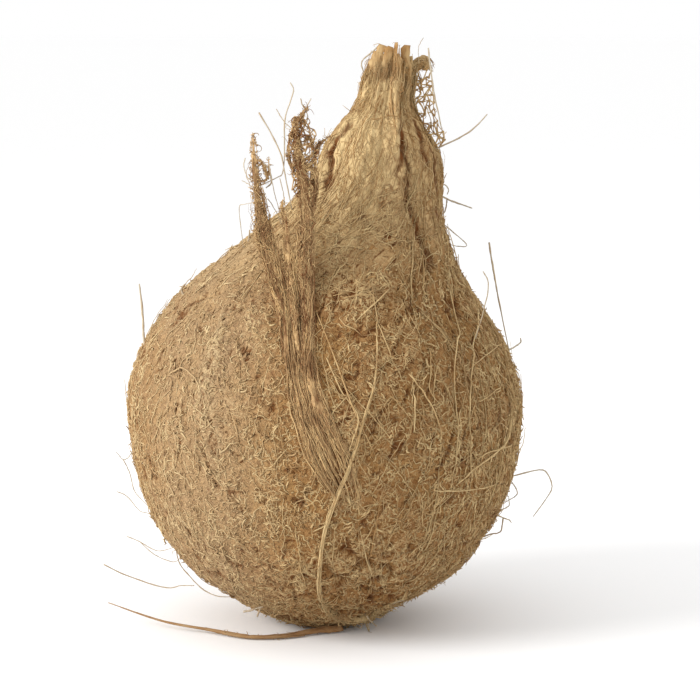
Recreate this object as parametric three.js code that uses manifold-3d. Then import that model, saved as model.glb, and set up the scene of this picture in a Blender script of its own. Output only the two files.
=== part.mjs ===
// A husked coconut that keeps its pointed crown of fibre, with strands of torn husk: three
// that stand up from the front of the shoulder, one that lies down the front, and a strip
// that runs out over the surface from under the base. Millimetres, +Z up. The origin is the
// middle of the small flat spot that the nut rests on, and -Y is the front.
import * as THREE from "three";
import { mergeVertices } from "three/addons/utils/BufferGeometryUtils.js";
import Module from "manifold-3d";

// Driving dimensions of the nut.
const FLAT_RADIUS = 12; // the spot that it rests on, before the taper
const BELLY_RADIUS = 60; // the widest part
const BELLY_HEIGHT = 65;
const BASE_TAPER = 0.12; // share of the width that is missing just above the flat spot
const BASE_TAPER_HEIGHT = 5;
const BASE_TAPER_SPREAD = 8;
const CROWN_TOP = 170; // where the crown's fibres are torn off
const BODY_DEPTH = 0.97; // depth over width, at the belly and in the crown
const CROWN_DEPTH = 0.88;
const CROWN_LEAN = 16.5; // how far the crown stands to the right of the belly's middle
const CROWN_FROM = 96; // the heights between which the body turns into the crown
const CROWN_TO = 142;
const TIP_LEAN = 0.13; // further lean for each millimetre above that
const CROWN_BACK = 3; // how far the crown leans to the rear
const LOBE = 0.012; // the three rounded corners of a coconut, as a share of the radius
const FLUTES = 9; // the crown's cords
const FLUTE_DEPTH = 0.9;
const FLUTE_TWIST = 0.022; // radians for each millimetre of height

// Half the nut's width at heights above the belly, where it narrows to the crown.
const SHOULDER = [
  [BELLY_HEIGHT, BELLY_RADIUS],
  [83, 55.4],
  [98, 45.4],
  [107, 37.8],
  [117, 29.6],
  [125, 23.4],
  [135, 19.2],
  [145, 16.4],
  [151, 12.8],
  [156, 8.8],
  [161, 7.2],
  [CROWN_TOP, 6.2],
];

const NUT_MIDDLE = new THREE.Vector3(0, 0, BELLY_HEIGHT);
const RINGS_BELOW = 18; // rings of the mesh below the belly, and above it
const RINGS_ABOVE = 32;
const SIDES = 60;
const STRAND_LIFT = 2.2; // from the skin to the middle of a strand that lies against it
const STRAND_SIDES = 8;

const COLOURS = { coat: 0xb8976a, reddish: 0x94694a, pale: 0xb89a6c, strip: 0xa98a60 };

// A smooth curve through rows of [place, value], read at one place. The slope at each row is
// that of the line between its neighbours, and the curve starts level.
function curveThrough(rows, place) {
  const last = rows.length - 1;
  const k = Math.max(rows.findLastIndex((row) => row[0] <= place), 0);
  if (k >= last) return rows[last][1];
  const slope = (i) => {
    if (i === 0) return 0;
    const [a, b] = [rows[i - 1], rows[Math.min(i + 1, last)]];
    return (b[1] - a[1]) / (b[0] - a[0]);
  };
  const span = rows[k + 1][0] - rows[k][0];
  const t = (place - rows[k][0]) / span;
  const rise = t * t * (3 - 2 * t);
  return (
    rows[k][1] * (1 - rise) +
    rows[k + 1][1] * rise +
    span * t * (1 - t) * ((1 - t) * slope(k) - t * slope(k + 1))
  );
}

// Half the nut's width at a height: part of an ellipse below the belly, which tapers a
// little to the flat spot, and the shoulder and crown above.
function halfWidth(z) {
  if (z >= BELLY_HEIGHT) return curveThrough(SHOULDER, z);
  const drop = BELLY_HEIGHT / Math.sqrt(1 - (FLAT_RADIUS / BELLY_RADIUS) ** 2);
  const ellipse = BELLY_RADIUS * Math.sqrt(1 - ((BELLY_HEIGHT - z) / drop) ** 2);
  const taper = Math.exp(-(((z - BASE_TAPER_HEIGHT) / BASE_TAPER_SPREAD) ** 2));
  return ellipse * (1 - BASE_TAPER * taper);
}

// How much of the crown's shape there is at a height, from 0 on the body to 1.
const crownShare = (z) => THREE.MathUtils.smoothstep(z, CROWN_FROM, CROWN_TO);

// Where a point of the round, upright nut goes: round is how far round it is from the front
// in radians, and radius its distance from the axis.
function shaped(round, radius, z) {
  const crown = crownShare(z);
  const lobes = 1 + LOBE * Math.cos(3 * round) * (1 - crown);
  const cords = FLUTE_DEPTH * crown * Math.cos(FLUTES * round + FLUTE_TWIST * z);
  const out = radius * lobes + (cords * radius) / halfWidth(z);
  const depth = THREE.MathUtils.lerp(BODY_DEPTH, CROWN_DEPTH, crown);
  const lean = CROWN_LEAN * crown + TIP_LEAN * Math.max(0, z - CROWN_TO);
  return new THREE.Vector3(
    lean + out * Math.sin(round),
    CROWN_BACK * crown - depth * out * Math.cos(round),
    z,
  );
}

// A point of the nut's skin, and a point that is a lift away from the skin's front, across
// and up by x and z.
const skin = (round, z) => shaped(round, halfWidth(z), z);

function beforeNut([x, z], lift = STRAND_LIFT) {
  const across = (x - shaped(0, 0, z).x) / halfWidth(z);
  const round = Math.asin(THREE.MathUtils.clamp(across, -0.98, 0.98));
  const point = skin(round, z);
  const side = skin(round + 0.05, z).sub(skin(round - 0.05, z));
  const up = skin(round, z + 1).sub(skin(round, z - 1));
  return point.addScaledVector(side.cross(up).normalize(), lift);
}

// three.js geometry as a manifold-3d solid, and back.
const wasm = await Module();
wasm.setup();

function solidOf(geometry) {
  const bare = geometry.clone().deleteAttribute("normal").deleteAttribute("uv");
  const merged = mergeVertices(bare, 1e-3);
  return new wasm.Manifold(
    new wasm.Mesh({
      numProp: 3,
      vertProperties: new Float32Array(merged.attributes.position.array),
      triVerts: new Uint32Array(merged.index.array),
    }),
  );
}

function geometryOf(solid) {
  const { vertProperties, triVerts } = solid.getMesh();
  const geometry = new THREE.BufferGeometry();
  geometry.setAttribute("position", new THREE.BufferAttribute(vertProperties, 3));
  geometry.setIndex(new THREE.BufferAttribute(triVerts, 1));
  geometry.computeVertexNormals();
  return geometry;
}

// The nut with its crown: a turned profile that is then leaned, lobed and fluted.
function turnedNut() {
  const heights = [];
  for (let i = 0; i <= RINGS_BELOW; i++) {
    heights.push(BELLY_HEIGHT * (1 - Math.cos((i / RINGS_BELOW) * (Math.PI / 2))));
  }
  for (let i = 1; i <= RINGS_ABOVE; i++) {
    heights.push(THREE.MathUtils.lerp(BELLY_HEIGHT, CROWN_TOP, i / RINGS_ABOVE));
  }
  const profile = heights.map((z) => new THREE.Vector2(halfWidth(z), z));
  profile.unshift(new THREE.Vector2(0, 0));
  profile.push(new THREE.Vector2(0, CROWN_TOP));
  const nut = new THREE.LatheGeometry(profile, SIDES);
  const place = nut.attributes.position;
  for (let i = 0; i < place.count; i++) {
    const [x, z, y] = [place.getX(i), place.getY(i), place.getZ(i)];
    const point = shaped(Math.atan2(x, y), Math.hypot(x, y), z);
    place.setXYZ(i, point.x, point.y, point.z);
  }
  return nut;
}

// The crown's torn ends, from left to right, by their place on its top. The last is the
// flap that is bent to the right, which leaves the crown a drop below the top.
const TORN_ENDS = [
  { x: -3.4, y: -0.6, length: 5.0, radius: 2.3, tilt: -0.12, drop: 0 },
  { x: -1.0, y: -2.6, length: 4.2, radius: 1.8, tilt: -0.04, drop: 0 },
  { x: -0.4, y: 2.6, length: 4.6, radius: 2.2, tilt: 0.0, drop: 0 },
  { x: 1.2, y: -0.4, length: 5.0, radius: 1.5, tilt: 0.04, drop: 0 },
  { x: 4.0, y: 0.4, length: 4.6, radius: 2.1, tilt: 0.1, drop: 0 },
  { x: 4.4, y: 1.2, length: 9.0, radius: 1.9, tilt: 0.62, drop: 8 },
];
const TORN_SUNK = 4; // how far each starts inside the crown

function tornEnd({ x, y, length, radius, tilt, drop }) {
  const end = new THREE.CylinderGeometry(radius * 0.6, radius, length + TORN_SUNK, 9);
  end.translate(0, (length - TORN_SUNK) / 2, 0);
  end.rotateX(Math.PI / 2);
  end.rotateY(tilt);
  const middle = shaped(0, 0, CROWN_TOP);
  return end.translate(middle.x + x, middle.y + y, CROWN_TOP - drop);
}

function nutGeometry() {
  const ends = TORN_ENDS.map((end) => solidOf(tornEnd(end)));
  return geometryOf(ends.reduce((nut, end) => nut.add(end), solidOf(turnedNut())));
}

// A husk strand: a round bar, flattened and laid along a curve so that its flat side faces
// the nut's middle. width and thick give its half sizes at a share of its length.
function strandGeometry({ points, width, thick, steps }) {
  const curve = new THREE.CatmullRomCurve3(points);
  const profile = [new THREE.Vector2(0, 0)];
  for (let i = 0; i <= steps; i++) profile.push(new THREE.Vector2(1, i / steps));
  profile.push(new THREE.Vector2(0, 1));
  const strand = new THREE.LatheGeometry(profile, STRAND_SIDES);
  const place = strand.attributes.position;
  for (let i = 0; i < place.count; i++) {
    const along = THREE.MathUtils.clamp(place.getY(i), 0, 1);
    const point = curve.getPoint(along);
    const tangent = curve.getTangent(along);
    const out = point.clone().sub(NUT_MIDDLE);
    out.addScaledVector(tangent, -out.dot(tangent)).normalize();
    const side = new THREE.Vector3().crossVectors(tangent, out);
    point
      .addScaledVector(side, place.getX(i) * curveThrough(width, along))
      .addScaledVector(out, place.getZ(i) * curveThrough(thick, along));
    place.setXYZ(i, point.x, point.y, point.z);
  }
  return strand;
}

// A strand's curve: it lies against the front of the nut, by x and z, and then stands free.
const standing = (lying, free) => [
  ...lying.map((place) => beforeNut(place)),
  ...free.map((place) => new THREE.Vector3(...place)),
];

const LEFT_STRAND = {
  points: standing(
    [
      [-9.6, 87],
      [-10.2, 94],
      [-11.4, 100],
    ],
    [
      [-14.0, -37.5, 110],
      [-16.9, -35, 121],
      [-18.0, -32.5, 128.5],
      [-19.6, -30, 137],
      [-20.2, -27, 149],
    ],
  ),
  width: [
    [0, 1.0],
    [0.35, 1.6],
    [0.55, 2.1],
    [0.75, 1.6],
    [1, 0.5],
  ],
  thick: [
    [0, 0.6],
    [0.6, 1.0],
    [1, 0.5],
  ],
  steps: 26,
};

const MIDDLE_STRAND = {
  points: standing(
    [
      [-6.7, 88],
      [-7.2, 95],
      [-8.0, 101],
    ],
    [
      [-9.3, -38.5, 110],
      [-10.2, -36, 119],
      [-10.8, -34, 128],
    ],
  ),
  width: [
    [0, 0.7],
    [0.5, 0.9],
    [1, 0.5],
  ],
  thick: [
    [0, 0.6],
    [1, 0.5],
  ],
  steps: 18,
};

const RIGHT_STRAND = {
  points: standing(
    [
      [1.4, 69],
      [-1.6, 76],
      [-3.8, 86],
      [-4.1, 94],
      [-4.3, 101],
    ],
    [
      [-5.0, -39.5, 110],
      [-5.2, -37, 118],
      [-4.7, -34, 127],
      [-5.0, -31, 136],
      [-6.8, -28, 155],
    ],
  ),
  width: [
    [0, 4.4],
    [0.1, 3.6],
    [0.22, 1.5],
    [0.4, 1.4],
    [0.6, 2.4],
    [0.8, 2.7],
    [1, 2.4],
  ],
  thick: [
    [0, 0.5],
    [0.5, 0.9],
    [0.85, 1.2],
    [1, 0.8],
  ],
  steps: 40,
};

const FRONT_STRAND = {
  points: standing(
    [
      [15.0, 97],
      [14.9, 89],
      [14.0, 79.5],
      [11.2, 71.5],
      [8.2, 61],
      [4.2, 50],
      [0.7, 40],
      [-1.0, 24],
      [0.4, 15.5],
      [4.0, 9],
    ],
    [],
  ),
  width: [
    [0, 0.6],
    [0.5, 0.8],
    [1, 0.6],
  ],
  thick: [
    [0, 0.6],
    [1, 0.6],
  ],
  steps: 34,
};

const BASE_STRIP = {
  points: [
    [5, -17, 1.3],
    [-2, -20, 1.1],
    [-13, -25.5, 0.9],
    [-23, -26, 1.0],
    [-34, -20, 1.4],
    [-49, -14, 2.6],
    [-66, -6, 6.2],
  ].map((place) => new THREE.Vector3(...place)),
  width: [
    [0, 1.8],
    [0.3, 1.1],
    [1, 0.6],
  ],
  thick: [
    [0, 0.5],
    [1, 0.4],
  ],
  steps: 30,
};

function mesh(name, geometry, colour) {
  const material = new THREE.MeshStandardMaterial({ color: colour, roughness: 0.9, metalness: 0 });
  const made = new THREE.Mesh(geometry, material);
  made.name = name;
  return made;
}

const coconut = new THREE.Group();
coconut.add(
  mesh("husked_nut", nutGeometry(), COLOURS.coat),
  mesh("left_husk_strand", strandGeometry(LEFT_STRAND), COLOURS.reddish),
  mesh("middle_husk_strand", strandGeometry(MIDDLE_STRAND), COLOURS.reddish),
  mesh("right_husk_strand", strandGeometry(RIGHT_STRAND), COLOURS.reddish),
  mesh("front_husk_strand", strandGeometry(FRONT_STRAND), COLOURS.pale),
  mesh("base_husk_strip", strandGeometry(BASE_STRIP), COLOURS.strip),
);

export default coconut;
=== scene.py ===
"""A husked coconut in its coat of fibre, on a plain studio floor.

The nut's skin is a turned profile, leaned, lobed and fluted. Everything else follows that skin:
the relief of the coat, the short curly fibres on it, the long ones that run up and down it, the
crown's fibres, torn ends and net, the strands of husk, and single hairs. Lengths are in metres,
and the lists of points and sizes in millimetres.
"""

from math import cos, pi, radians, sin, sqrt

import bpy
import numpy as np
from bpy.props import FloatProperty, FloatVectorProperty, IntProperty, PointerProperty
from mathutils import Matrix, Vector


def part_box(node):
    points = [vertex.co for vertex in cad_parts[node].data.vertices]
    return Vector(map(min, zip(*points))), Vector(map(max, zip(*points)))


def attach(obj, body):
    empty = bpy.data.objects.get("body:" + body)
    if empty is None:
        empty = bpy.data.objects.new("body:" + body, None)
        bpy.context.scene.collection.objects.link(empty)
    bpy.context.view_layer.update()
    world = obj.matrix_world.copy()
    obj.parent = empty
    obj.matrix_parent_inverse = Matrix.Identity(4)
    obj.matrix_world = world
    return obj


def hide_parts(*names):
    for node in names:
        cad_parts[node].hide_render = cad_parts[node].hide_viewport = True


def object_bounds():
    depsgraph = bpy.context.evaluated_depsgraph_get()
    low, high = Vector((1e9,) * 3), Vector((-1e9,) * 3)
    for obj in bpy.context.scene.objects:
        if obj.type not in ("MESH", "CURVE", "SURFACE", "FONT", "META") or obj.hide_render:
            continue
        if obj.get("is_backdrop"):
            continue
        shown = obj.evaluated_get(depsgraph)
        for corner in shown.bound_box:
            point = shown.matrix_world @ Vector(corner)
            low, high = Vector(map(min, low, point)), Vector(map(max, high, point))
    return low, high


bl_info = {
    "name": "Husked Coconut",
    "version": (1, 0, 0),
    "blender": (4, 5, 0),
    "location": "3D View > Sidebar > Coconut",
    "description": "Builds a husked coconut with its fibre coat, crown and torn husk strands",
    "category": "Add Mesh",
}

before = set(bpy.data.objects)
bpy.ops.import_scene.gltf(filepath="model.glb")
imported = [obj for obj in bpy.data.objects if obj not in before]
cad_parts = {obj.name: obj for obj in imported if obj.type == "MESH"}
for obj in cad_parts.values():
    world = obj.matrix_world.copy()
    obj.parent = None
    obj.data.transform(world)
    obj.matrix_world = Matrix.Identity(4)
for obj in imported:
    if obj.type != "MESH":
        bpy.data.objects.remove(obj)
CAD_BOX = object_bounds()
NUT_LOW, NUT_HIGH = (np.array(corner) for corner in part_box("husked_nut"))
MM = 0.001
# A turn about a slanted axis, which keeps the lattice of the noise from lining up with the nut.
SLANT = np.array([(0.8, 0.36, 0.48), (-0.6, 0.48, 0.64), (0.0, -0.8, 0.6)])

TO_FRONT = np.array((0.0, -1.0, 0.0))
# The lowest that the middle of a fibre on the coat, and the outside of a strand, may lie.
COAT_LOWEST, STRAND_LOWEST = 0.15 * MM, 0.1 * MM

# Half the nut's width at heights above the belly, up to the crown's top.
SHOULDER = (
    (65, 60.0), (83, 55.4), (98, 45.4), (107, 37.8), (117, 29.6), (125, 23.4), (135, 19.2),
    (145, 16.4), (151, 12.8), (156, 8.8), (161, 7.2), (170, 6.2),
)


# ---------------------------------------------------------------- settings


def length(name, description, default):
    """A property that holds a length in metres."""
    return FloatProperty(
        name=name, description=description, default=default, min=0.0, unit="LENGTH", precision=5
    )


def colour(name, description, default):
    """A property that holds a linear colour."""
    return FloatVectorProperty(
        name=name, description=description, default=default, subtype="COLOR", min=0.0, max=1.0
    )


class NutSettings(bpy.types.PropertyGroup):
    """The size and shape of the nut and its crown"""

    belly_radius: length("Belly radius", "Half its widest part", (NUT_HIGH[0] - NUT_LOW[0]) / 2)
    belly_height: length("Belly height", "Height of the widest part", 65 * MM)
    flat_radius: length("Flat spot", "Radius of the spot that the nut rests on", 12 * MM)
    crown_top: length("Crown top", "Height where the crown is torn off", NUT_HIGH[2] - 5.1 * MM)
    crown_lean: length("Crown lean", "How far the crown stands to the right", 16.5 * MM)
    relief: FloatProperty(
        name="Relief", description="Depth of the coat's ridges and pits", default=1.0, min=0.0
    )


class FibreSettings(bpy.types.PropertyGroup):
    """How many loose fibres there are, and how long and thick they are"""

    patches: IntProperty(
        name="Patches", description="Pieces that the short fibres are split into", default=6, min=1
    )
    short_count: IntProperty(
        name="Short fibres", description="Short fibres in each patch", default=4850, min=1
    )
    long_count: IntProperty(
        name="Long fibres", description="Fibres that run up and down the coat", default=1800, min=1
    )
    cord_count: IntProperty(
        name="Crown fibres", description="Fibres that lie up the crown", default=2600, min=1
    )
    short_length: length("Short length", "Mean length of a short fibre", 2.7 * MM)
    fibre_radius: length("Fibre radius", "Mean radius of a short fibre", 0.26 * MM)


class ColourSettings(bpy.types.PropertyGroup):
    """The colours of the dry husk"""

    # The pith colour is also painted as shade towards the base and in the furrows and folds.
    pith: colour("Pith", "The reddish brown pith in the pits", (0.15, 0.054, 0.015))
    coat: colour("Coat", "The matted coat between the fibres", (0.28, 0.142, 0.056))
    tan: colour("Tan", "The darker loose fibres", (0.37, 0.205, 0.074))
    straw: colour("Straw", "The palest loose fibres", (0.63, 0.465, 0.235))
    reddish: colour("Reddish", "The standing husk strands", (0.19, 0.077, 0.027))
    reddish_pale: colour("Reddish pale", "The paler fibres of those strands", (0.67, 0.46, 0.22))
    strip: colour("Strip", "The strip from the base", (0.40, 0.27, 0.14))
    # Painted highlight: the paler colour painted on the left of the front, where the key light
    # falls.
    wear_and_lit_left: colour("Worn", "The paler coat on the left of the front", (0.58, 0.45, 0.28))
    hair: colour("Hair", "The darker hairs that stand free", (0.30, 0.21, 0.12))
    hair_pale: colour("Hair pale", "The paler hairs that stand free", (0.52, 0.45, 0.34))


class StageSettings(bpy.types.PropertyGroup):
    """The floor, the light and the camera"""

    elevation: FloatProperty(
        name="Elevation", description="The camera's angle above level", default=radians(8),
        subtype="ANGLE",
    )
    distance: length("Distance", "From the camera to the nut", 0.7)
    view_width: length("View width", "What the camera sees across at the nut", 211.6 * MM)
    aim: FloatVectorProperty(
        name="Aim", description="The point that the camera looks at",
        default=(7.6 * MM, 0.0, 83 * MM), subtype="XYZ", unit="LENGTH",
    )
    key: FloatProperty(name="Key light", description="Power in watts", default=8.3, min=0.0)
    sky: FloatProperty(name="Sky", description="Strength of the white room", default=1.0, min=0.0)
    floor: colour("Floor", "The floor's colour", (0.995, 0.995, 0.995))


# ---------------------------------------------------------------- numbers and noise


def smooth(low, high, value):
    """3t^2 - 2t^3 with t the share of the way from low to high, held between 0 and 1."""
    t = np.clip((np.asarray(value, float) - low) / (high - low), 0, 1)
    return t * t * (3 - 2 * t)


def hashed(cells, seed):
    """A random number from -1 to 1 for each row of whole numbers: their products with three large
    primes, mixed by exclusive or and by multiplying, over the largest 32-bit number."""
    primes = np.array([73856093, 19349663, 83492791])
    mixed = np.bitwise_xor.reduce(cells * primes, axis=-1) ^ (seed * 2654435761)
    mixed = (mixed & 0xFFFFFFFF) * 2246822519 & 0xFFFFFFFF
    mixed = (mixed ^ (mixed >> 15)) * 3266489917 & 0xFFFFFFFF
    return (mixed ^ (mixed >> 13)) / 0x7FFFFFFF - 1


def noise(points, size, seed=0):
    """Value noise from -1 to 1. Each corner of a slanted lattice of cubes of that size has a
    random number, and a point takes the eight around it, weighted by 3t^2 - 2t^3 each way."""
    place = np.asarray(points) @ SLANT / size
    cell = np.floor(place).astype(np.int64)
    part = place - cell
    part = part * part * (3 - 2 * part)
    total = np.zeros(place.shape[:-1])
    for corner in np.ndindex(2, 2, 2):
        weight = np.where(corner, part, 1 - part).prod(-1)
        total += weight * hashed(cell + corner, seed)
    return total


def ridges(points, size, seed=0):
    """From -1 in the pits to 1 on thin winding ridges: 1 - 4 |n|, n being the noise, held."""
    return np.clip(1 - 4 * np.abs(noise(points, size, seed)), -1, 1)


def curve(points, count):
    """count points on the Catmull-Rom spline through the given ones, evenly by parameter: each
    span is the cubic whose end slopes are half the difference of the neighbouring points."""
    ends = np.concatenate([2 * points[:1] - points[1:2], points, 2 * points[-1:] - points[-2:-1]])
    place = np.linspace(0, len(points) - 1, count)
    k = np.minimum(place.astype(int), len(points) - 2)
    t = (place - k)[:, None]
    before, start, end, after = (ends[k + i] for i in range(4))
    return (
        start
        + t * (end - before) / 2
        + t**2 * (before - 2.5 * start + 2 * end - after / 2)
        + t**3 * (1.5 * (start - end) + (after - before) / 2)
    )


def front_half(turn):
    """1 on the right, 0 on the left, as seen from the front."""
    return 0.5 + 0.5 * np.sin(turn)


def unit(vectors):
    """The vectors at length 1."""
    return vectors / np.maximum(np.linalg.norm(vectors, axis=-1, keepdims=True), 1e-12)


# ---------------------------------------------------------------- the nut's skin

# The crown's furrows, which the coat's colour darkens as painted shade: heights with the angle
# round from the front there, and the half width and depth of each.
FURROWS = (
    (((106, 0.97), (120, 0.85), (132, 0.6), (142, 0.5), (150, 0.36)), 1.9, 1.6),
    (((128, -0.70), (136, -0.85), (146, -1.0), (152, -1.0)), 1.8, 1.4),
    (((136, 0.3), (144, 0.38), (154, 0.42)), 1.2, 0.9),
    (((138, 0.9), (146, 0.85), (154, 0.85)), 0.8, 0.6),
    (((118, 2.2), (130, 2.4), (150, 2.5)), 1.1, 1.0),
    (((114, -2.4), (128, -2.3), (146, -2.1)), 0.9, 0.9),
    (((122, 1.2), (134, 1.1), (150, 1.0)), 1.0, 0.6),
)
# The fan of the standing strands' roots: height, middle and half width.
ROOT_FAN = (
    (45, 7.5, 3), (51, 6, 4.2), (61, 1.8, 5.8), (73, -3.0, 4.6), (82, -5.4, 3.6), (90, -7, 3.3),
    (99, -8.2, 3.7), (104, -8.4, 3.8),
)


class Nut:
    """The skin as a function of two parameters: turn, the angle from the front in radians, and
    way, the share of the distance along the profile from the base's middle to the crown's."""

    CROWN_FROM, CROWN_TO = 96 * MM, 142 * MM
    TIP_LEAN = 0.13
    CROWN_BACK = 3 * MM
    BODY_DEPTH, CROWN_DEPTH = 0.97, 0.88
    LOBE = 0.012
    FLUTES, FLUTE_DEPTH, FLUTE_TWIST = 9, 0.9 * MM, 22.0

    def __init__(self, settings):
        self.size = settings
        top = settings.crown_top
        heights = top * (1 - np.cos(np.linspace(0, pi / 2, 2000)))
        self.heights = np.concatenate([[0], heights, [top]])
        self.radii = np.concatenate([[0], self.half_width(heights), [0]])
        steps = np.hypot(np.diff(self.heights), np.diff(self.radii))
        self.ways = np.concatenate([[0], np.cumsum(steps)])
        self.length = self.ways[-1]
        self.ways /= self.length

    def half_width(self, height):
        """Below the belly, R sqrt(1 - ((B - z) / d)^2) with d such that the flat spot has its
        radius at z = 0, less a taper of 0.12 exp(-((z - 5) / 8)^2). Above, the shoulder's rows
        joined by cubics whose slopes are those of the line between the neighbouring rows."""
        radius, belly = self.size.belly_radius, self.size.belly_height
        drop = belly / sqrt(1 - (self.size.flat_radius / radius) ** 2)
        below = radius * np.sqrt(np.clip(1 - ((belly - height) / drop) ** 2, 0, 1))
        below = below * (1 - 0.12 * np.exp(-(((height - 5 * MM) / (8 * MM)) ** 2)))
        rows, widths = np.array(SHOULDER).T * MM
        slopes = np.zeros(len(rows))
        slopes[1:-1] = (widths[2:] - widths[:-2]) / (rows[2:] - rows[:-2])
        slopes[-1] = (widths[-1] - widths[-2]) / (rows[-1] - rows[-2])
        k = np.clip(np.searchsorted(rows, height, side="right") - 1, 0, len(rows) - 2)
        span = rows[k + 1] - rows[k]
        t = np.clip((height - rows[k]) / span, 0, 1)
        rise = t * t * (3 - 2 * t)
        above = widths[k] * (1 - rise) + widths[k + 1] * rise
        above = above + span * t * (1 - t) * ((1 - t) * slopes[k] - t * slopes[k + 1])
        return np.where(height < belly, below, above)

    def height(self, way):
        return np.interp(way, self.ways, self.heights)

    def radius(self, way):
        return np.interp(way, self.ways, self.radii)

    def way(self, height):
        """The way at a height of the side, between the two flat ends."""
        return np.interp(height, self.heights[1:-1], self.ways[1:-1])

    def crown(self, height):
        """How far the skin has gone over from the body's shape to the crown's."""
        return smooth(self.CROWN_FROM, self.CROWN_TO, height)

    def corded(self, height):
        """How far the coat has gone over from the body's mat to the crown's cords."""
        return smooth(100 * MM, 134 * MM, height)

    def middle(self, height):
        """The x of the skin's middle: the lean, in an S from the body to the crown, and then in
        a straight line."""
        tip = self.TIP_LEAN * np.maximum(height - self.CROWN_TO, 0)
        return self.size.crown_lean * self.crown(height) + tip

    def skin(self, turn, way):
        """x = middle + r sin(turn), y = back - depth r cos(turn), z = height, where r is the
        profile's radius times 1 + lobe cos(3 turn), plus the crown's flutes."""
        height, radius = self.height(way), self.radius(way)
        crown = self.crown(height)
        flutes = np.cos(self.FLUTES * turn + self.FLUTE_TWIST * height)
        out = radius * (1 + self.LOBE * np.cos(3 * turn) * (1 - crown))
        out = out + self.FLUTE_DEPTH * crown * flutes * np.minimum(radius / (6 * MM), 1)
        depth = self.BODY_DEPTH + (self.CROWN_DEPTH - self.BODY_DEPTH) * crown
        x = self.middle(height) + out * np.sin(turn)
        y = self.CROWN_BACK * crown - depth * out * np.cos(turn)
        return np.stack(np.broadcast_arrays(x, y, height), -1)

    def normal(self, turn, way):
        """The unit cross product of the skin's two slopes, taken over small differences."""
        low, high = np.maximum(way - 0.002, 0.0005), np.minimum(way + 0.002, 0.9995)
        across = self.skin(turn + 0.02, way) - self.skin(turn - 0.02, way)
        up = self.skin(turn, high) - self.skin(turn, low)
        return unit(np.cross(across, up))

    def grain(self, turn, way):
        """The skin's points as the coat's patterns read them. In front and behind they are as
        they are; towards the sides height counts less, which draws the patterns out upright."""
        point = self.skin(turn, way)
        point[..., 2] *= 1 - 0.62 * smooth(0.4, 0.85, np.abs(np.sin(turn)))
        return point

    def pits(self, turn, way):
        """From 0 to 1 in the pits between the fibres: on the winding ridges of one noise, where
        another one is high. There are few on the crown."""
        grain, height = self.grain(turn, way), self.height(way)
        shaken = grain + 0.8 * MM * noise(grain, 1.6 * MM, 13)[..., None]
        winding = smooth(0.05, 0.9, ridges(shaken, 3.4 * MM, 11))
        open_ = noise(shaken, 2.6 * MM, 12) + 0.35 * noise(grain, 9 * MM, 18)
        open_ = open_ + 0.45 * noise(grain, 1.3 * MM, 20)
        fewer = (1 - 0.7 * smooth(116 * MM, 140 * MM, height)) * (0.75 + 0.25 * front_half(turn))
        return winding * smooth(-0.1, 0.38, open_) * fewer

    def folds(self, turn, way):
        """From 0 to 1 in the rough, torn folds low in front: the valleys of winding ridges that
        are drawn out sideways, inside a round patch that noise frays."""
        point = self.skin(turn, way)
        frayed = noise(point, 5 * MM, 24)
        off = np.hypot(point[..., 0] - 12 * MM, point[..., 2] - 19 * MM) / (15 * MM)
        patch = (1 - smooth(0.7, 1.1, off + 0.25 * frayed)) * (np.cos(turn) > 0)
        shaken = point * (0.6, 1, 1.3) + 1.2 * MM * noise(point, 3 * MM, 25)[..., None]
        return patch * smooth(-0.1, 0.9, ridges(shaken, 4.5 * MM, 26))

    def stain(self, turn, way):
        """From 0 to 1 where the coat is torn open in front, under the strands' roots: inside the
        fan of the roots, faded at its edges."""
        heights, middles, halves = np.array(ROOT_FAN).T * MM
        point, height = self.skin(turn, way), self.height(way)
        off = np.abs(point[..., 0] - np.interp(height, heights, middles))
        inside = 1 - smooth(0.75, 1.15, off / np.interp(height, heights, halves))
        inside = inside * smooth(46 * MM, 58 * MM, height) * (1 - smooth(90 * MM, 104 * MM, height))
        return inside * (np.cos(turn) > 0)

    def bare(self, turn, way):
        """From 0 to 1 in patches on the left where the coat is worn to a pale, grey mat."""
        point = self.skin(turn, way)
        wear_and_lit_left = noise(point, 9 * MM, 14) + 0.4 * noise(point, 3 * MM, 15)
        return smooth(0.15, 0.6, wear_and_lit_left) * smooth(0.1, -0.5, np.sin(turn))

    def relief(self, turn, way):
        """How far the coat stands out from the skin: on the body, low swellings and winding
        ridges, less the pits and folds; on the crown, cords, which are the same noise drawn out
        along it, a slope inwards under the torn ends and a dip behind the net; less the furrows.
        It fades at the flat spot."""
        grain, height = self.grain(turn, way), self.height(way)
        body = 0.8 * MM * noise(grain, 21 * MM, 1) + 0.45 * MM * noise(grain, 8 * MM, 2)
        body += 0.3 * MM * ridges(grain, 3.4 * MM, 3) + 0.15 * MM * noise(grain, 1.5 * MM, 4)
        body -= 0.7 * MM * self.pits(turn, way) + 1.5 * MM * self.folds(turn, way)
        wide = 15 * MM
        drawn = np.stack([wide * np.sin(turn), wide * np.cos(turn), 0.16 * height], -1)
        cords = 0.45 * MM * noise(drawn, 5 * MM, 5) + 0.18 * MM * ridges(drawn, 2.3 * MM, 6)
        cords += 0.2 * MM * noise(drawn, 1.0 * MM, 7) + 0.15 * MM * noise(grain, 2.2 * MM, 8)
        cords -= 2.2 * MM * smooth(162 * MM, 169 * MM, height)
        beside = smooth(140 * MM, 150 * MM, height) * (1 - smooth(158 * MM, 164 * MM, height))
        cords -= 2.2 * MM * beside * np.exp(-(((turn - 1.5) / 0.55) ** 2))
        crown = self.corded(height)
        out = body * (1 - crown) + cords * crown
        for furrow, depth in self.furrows(turn, way):
            out = out - depth * furrow
        return self.size.relief * out * smooth(0.3 * MM, 5 * MM, height)

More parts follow.
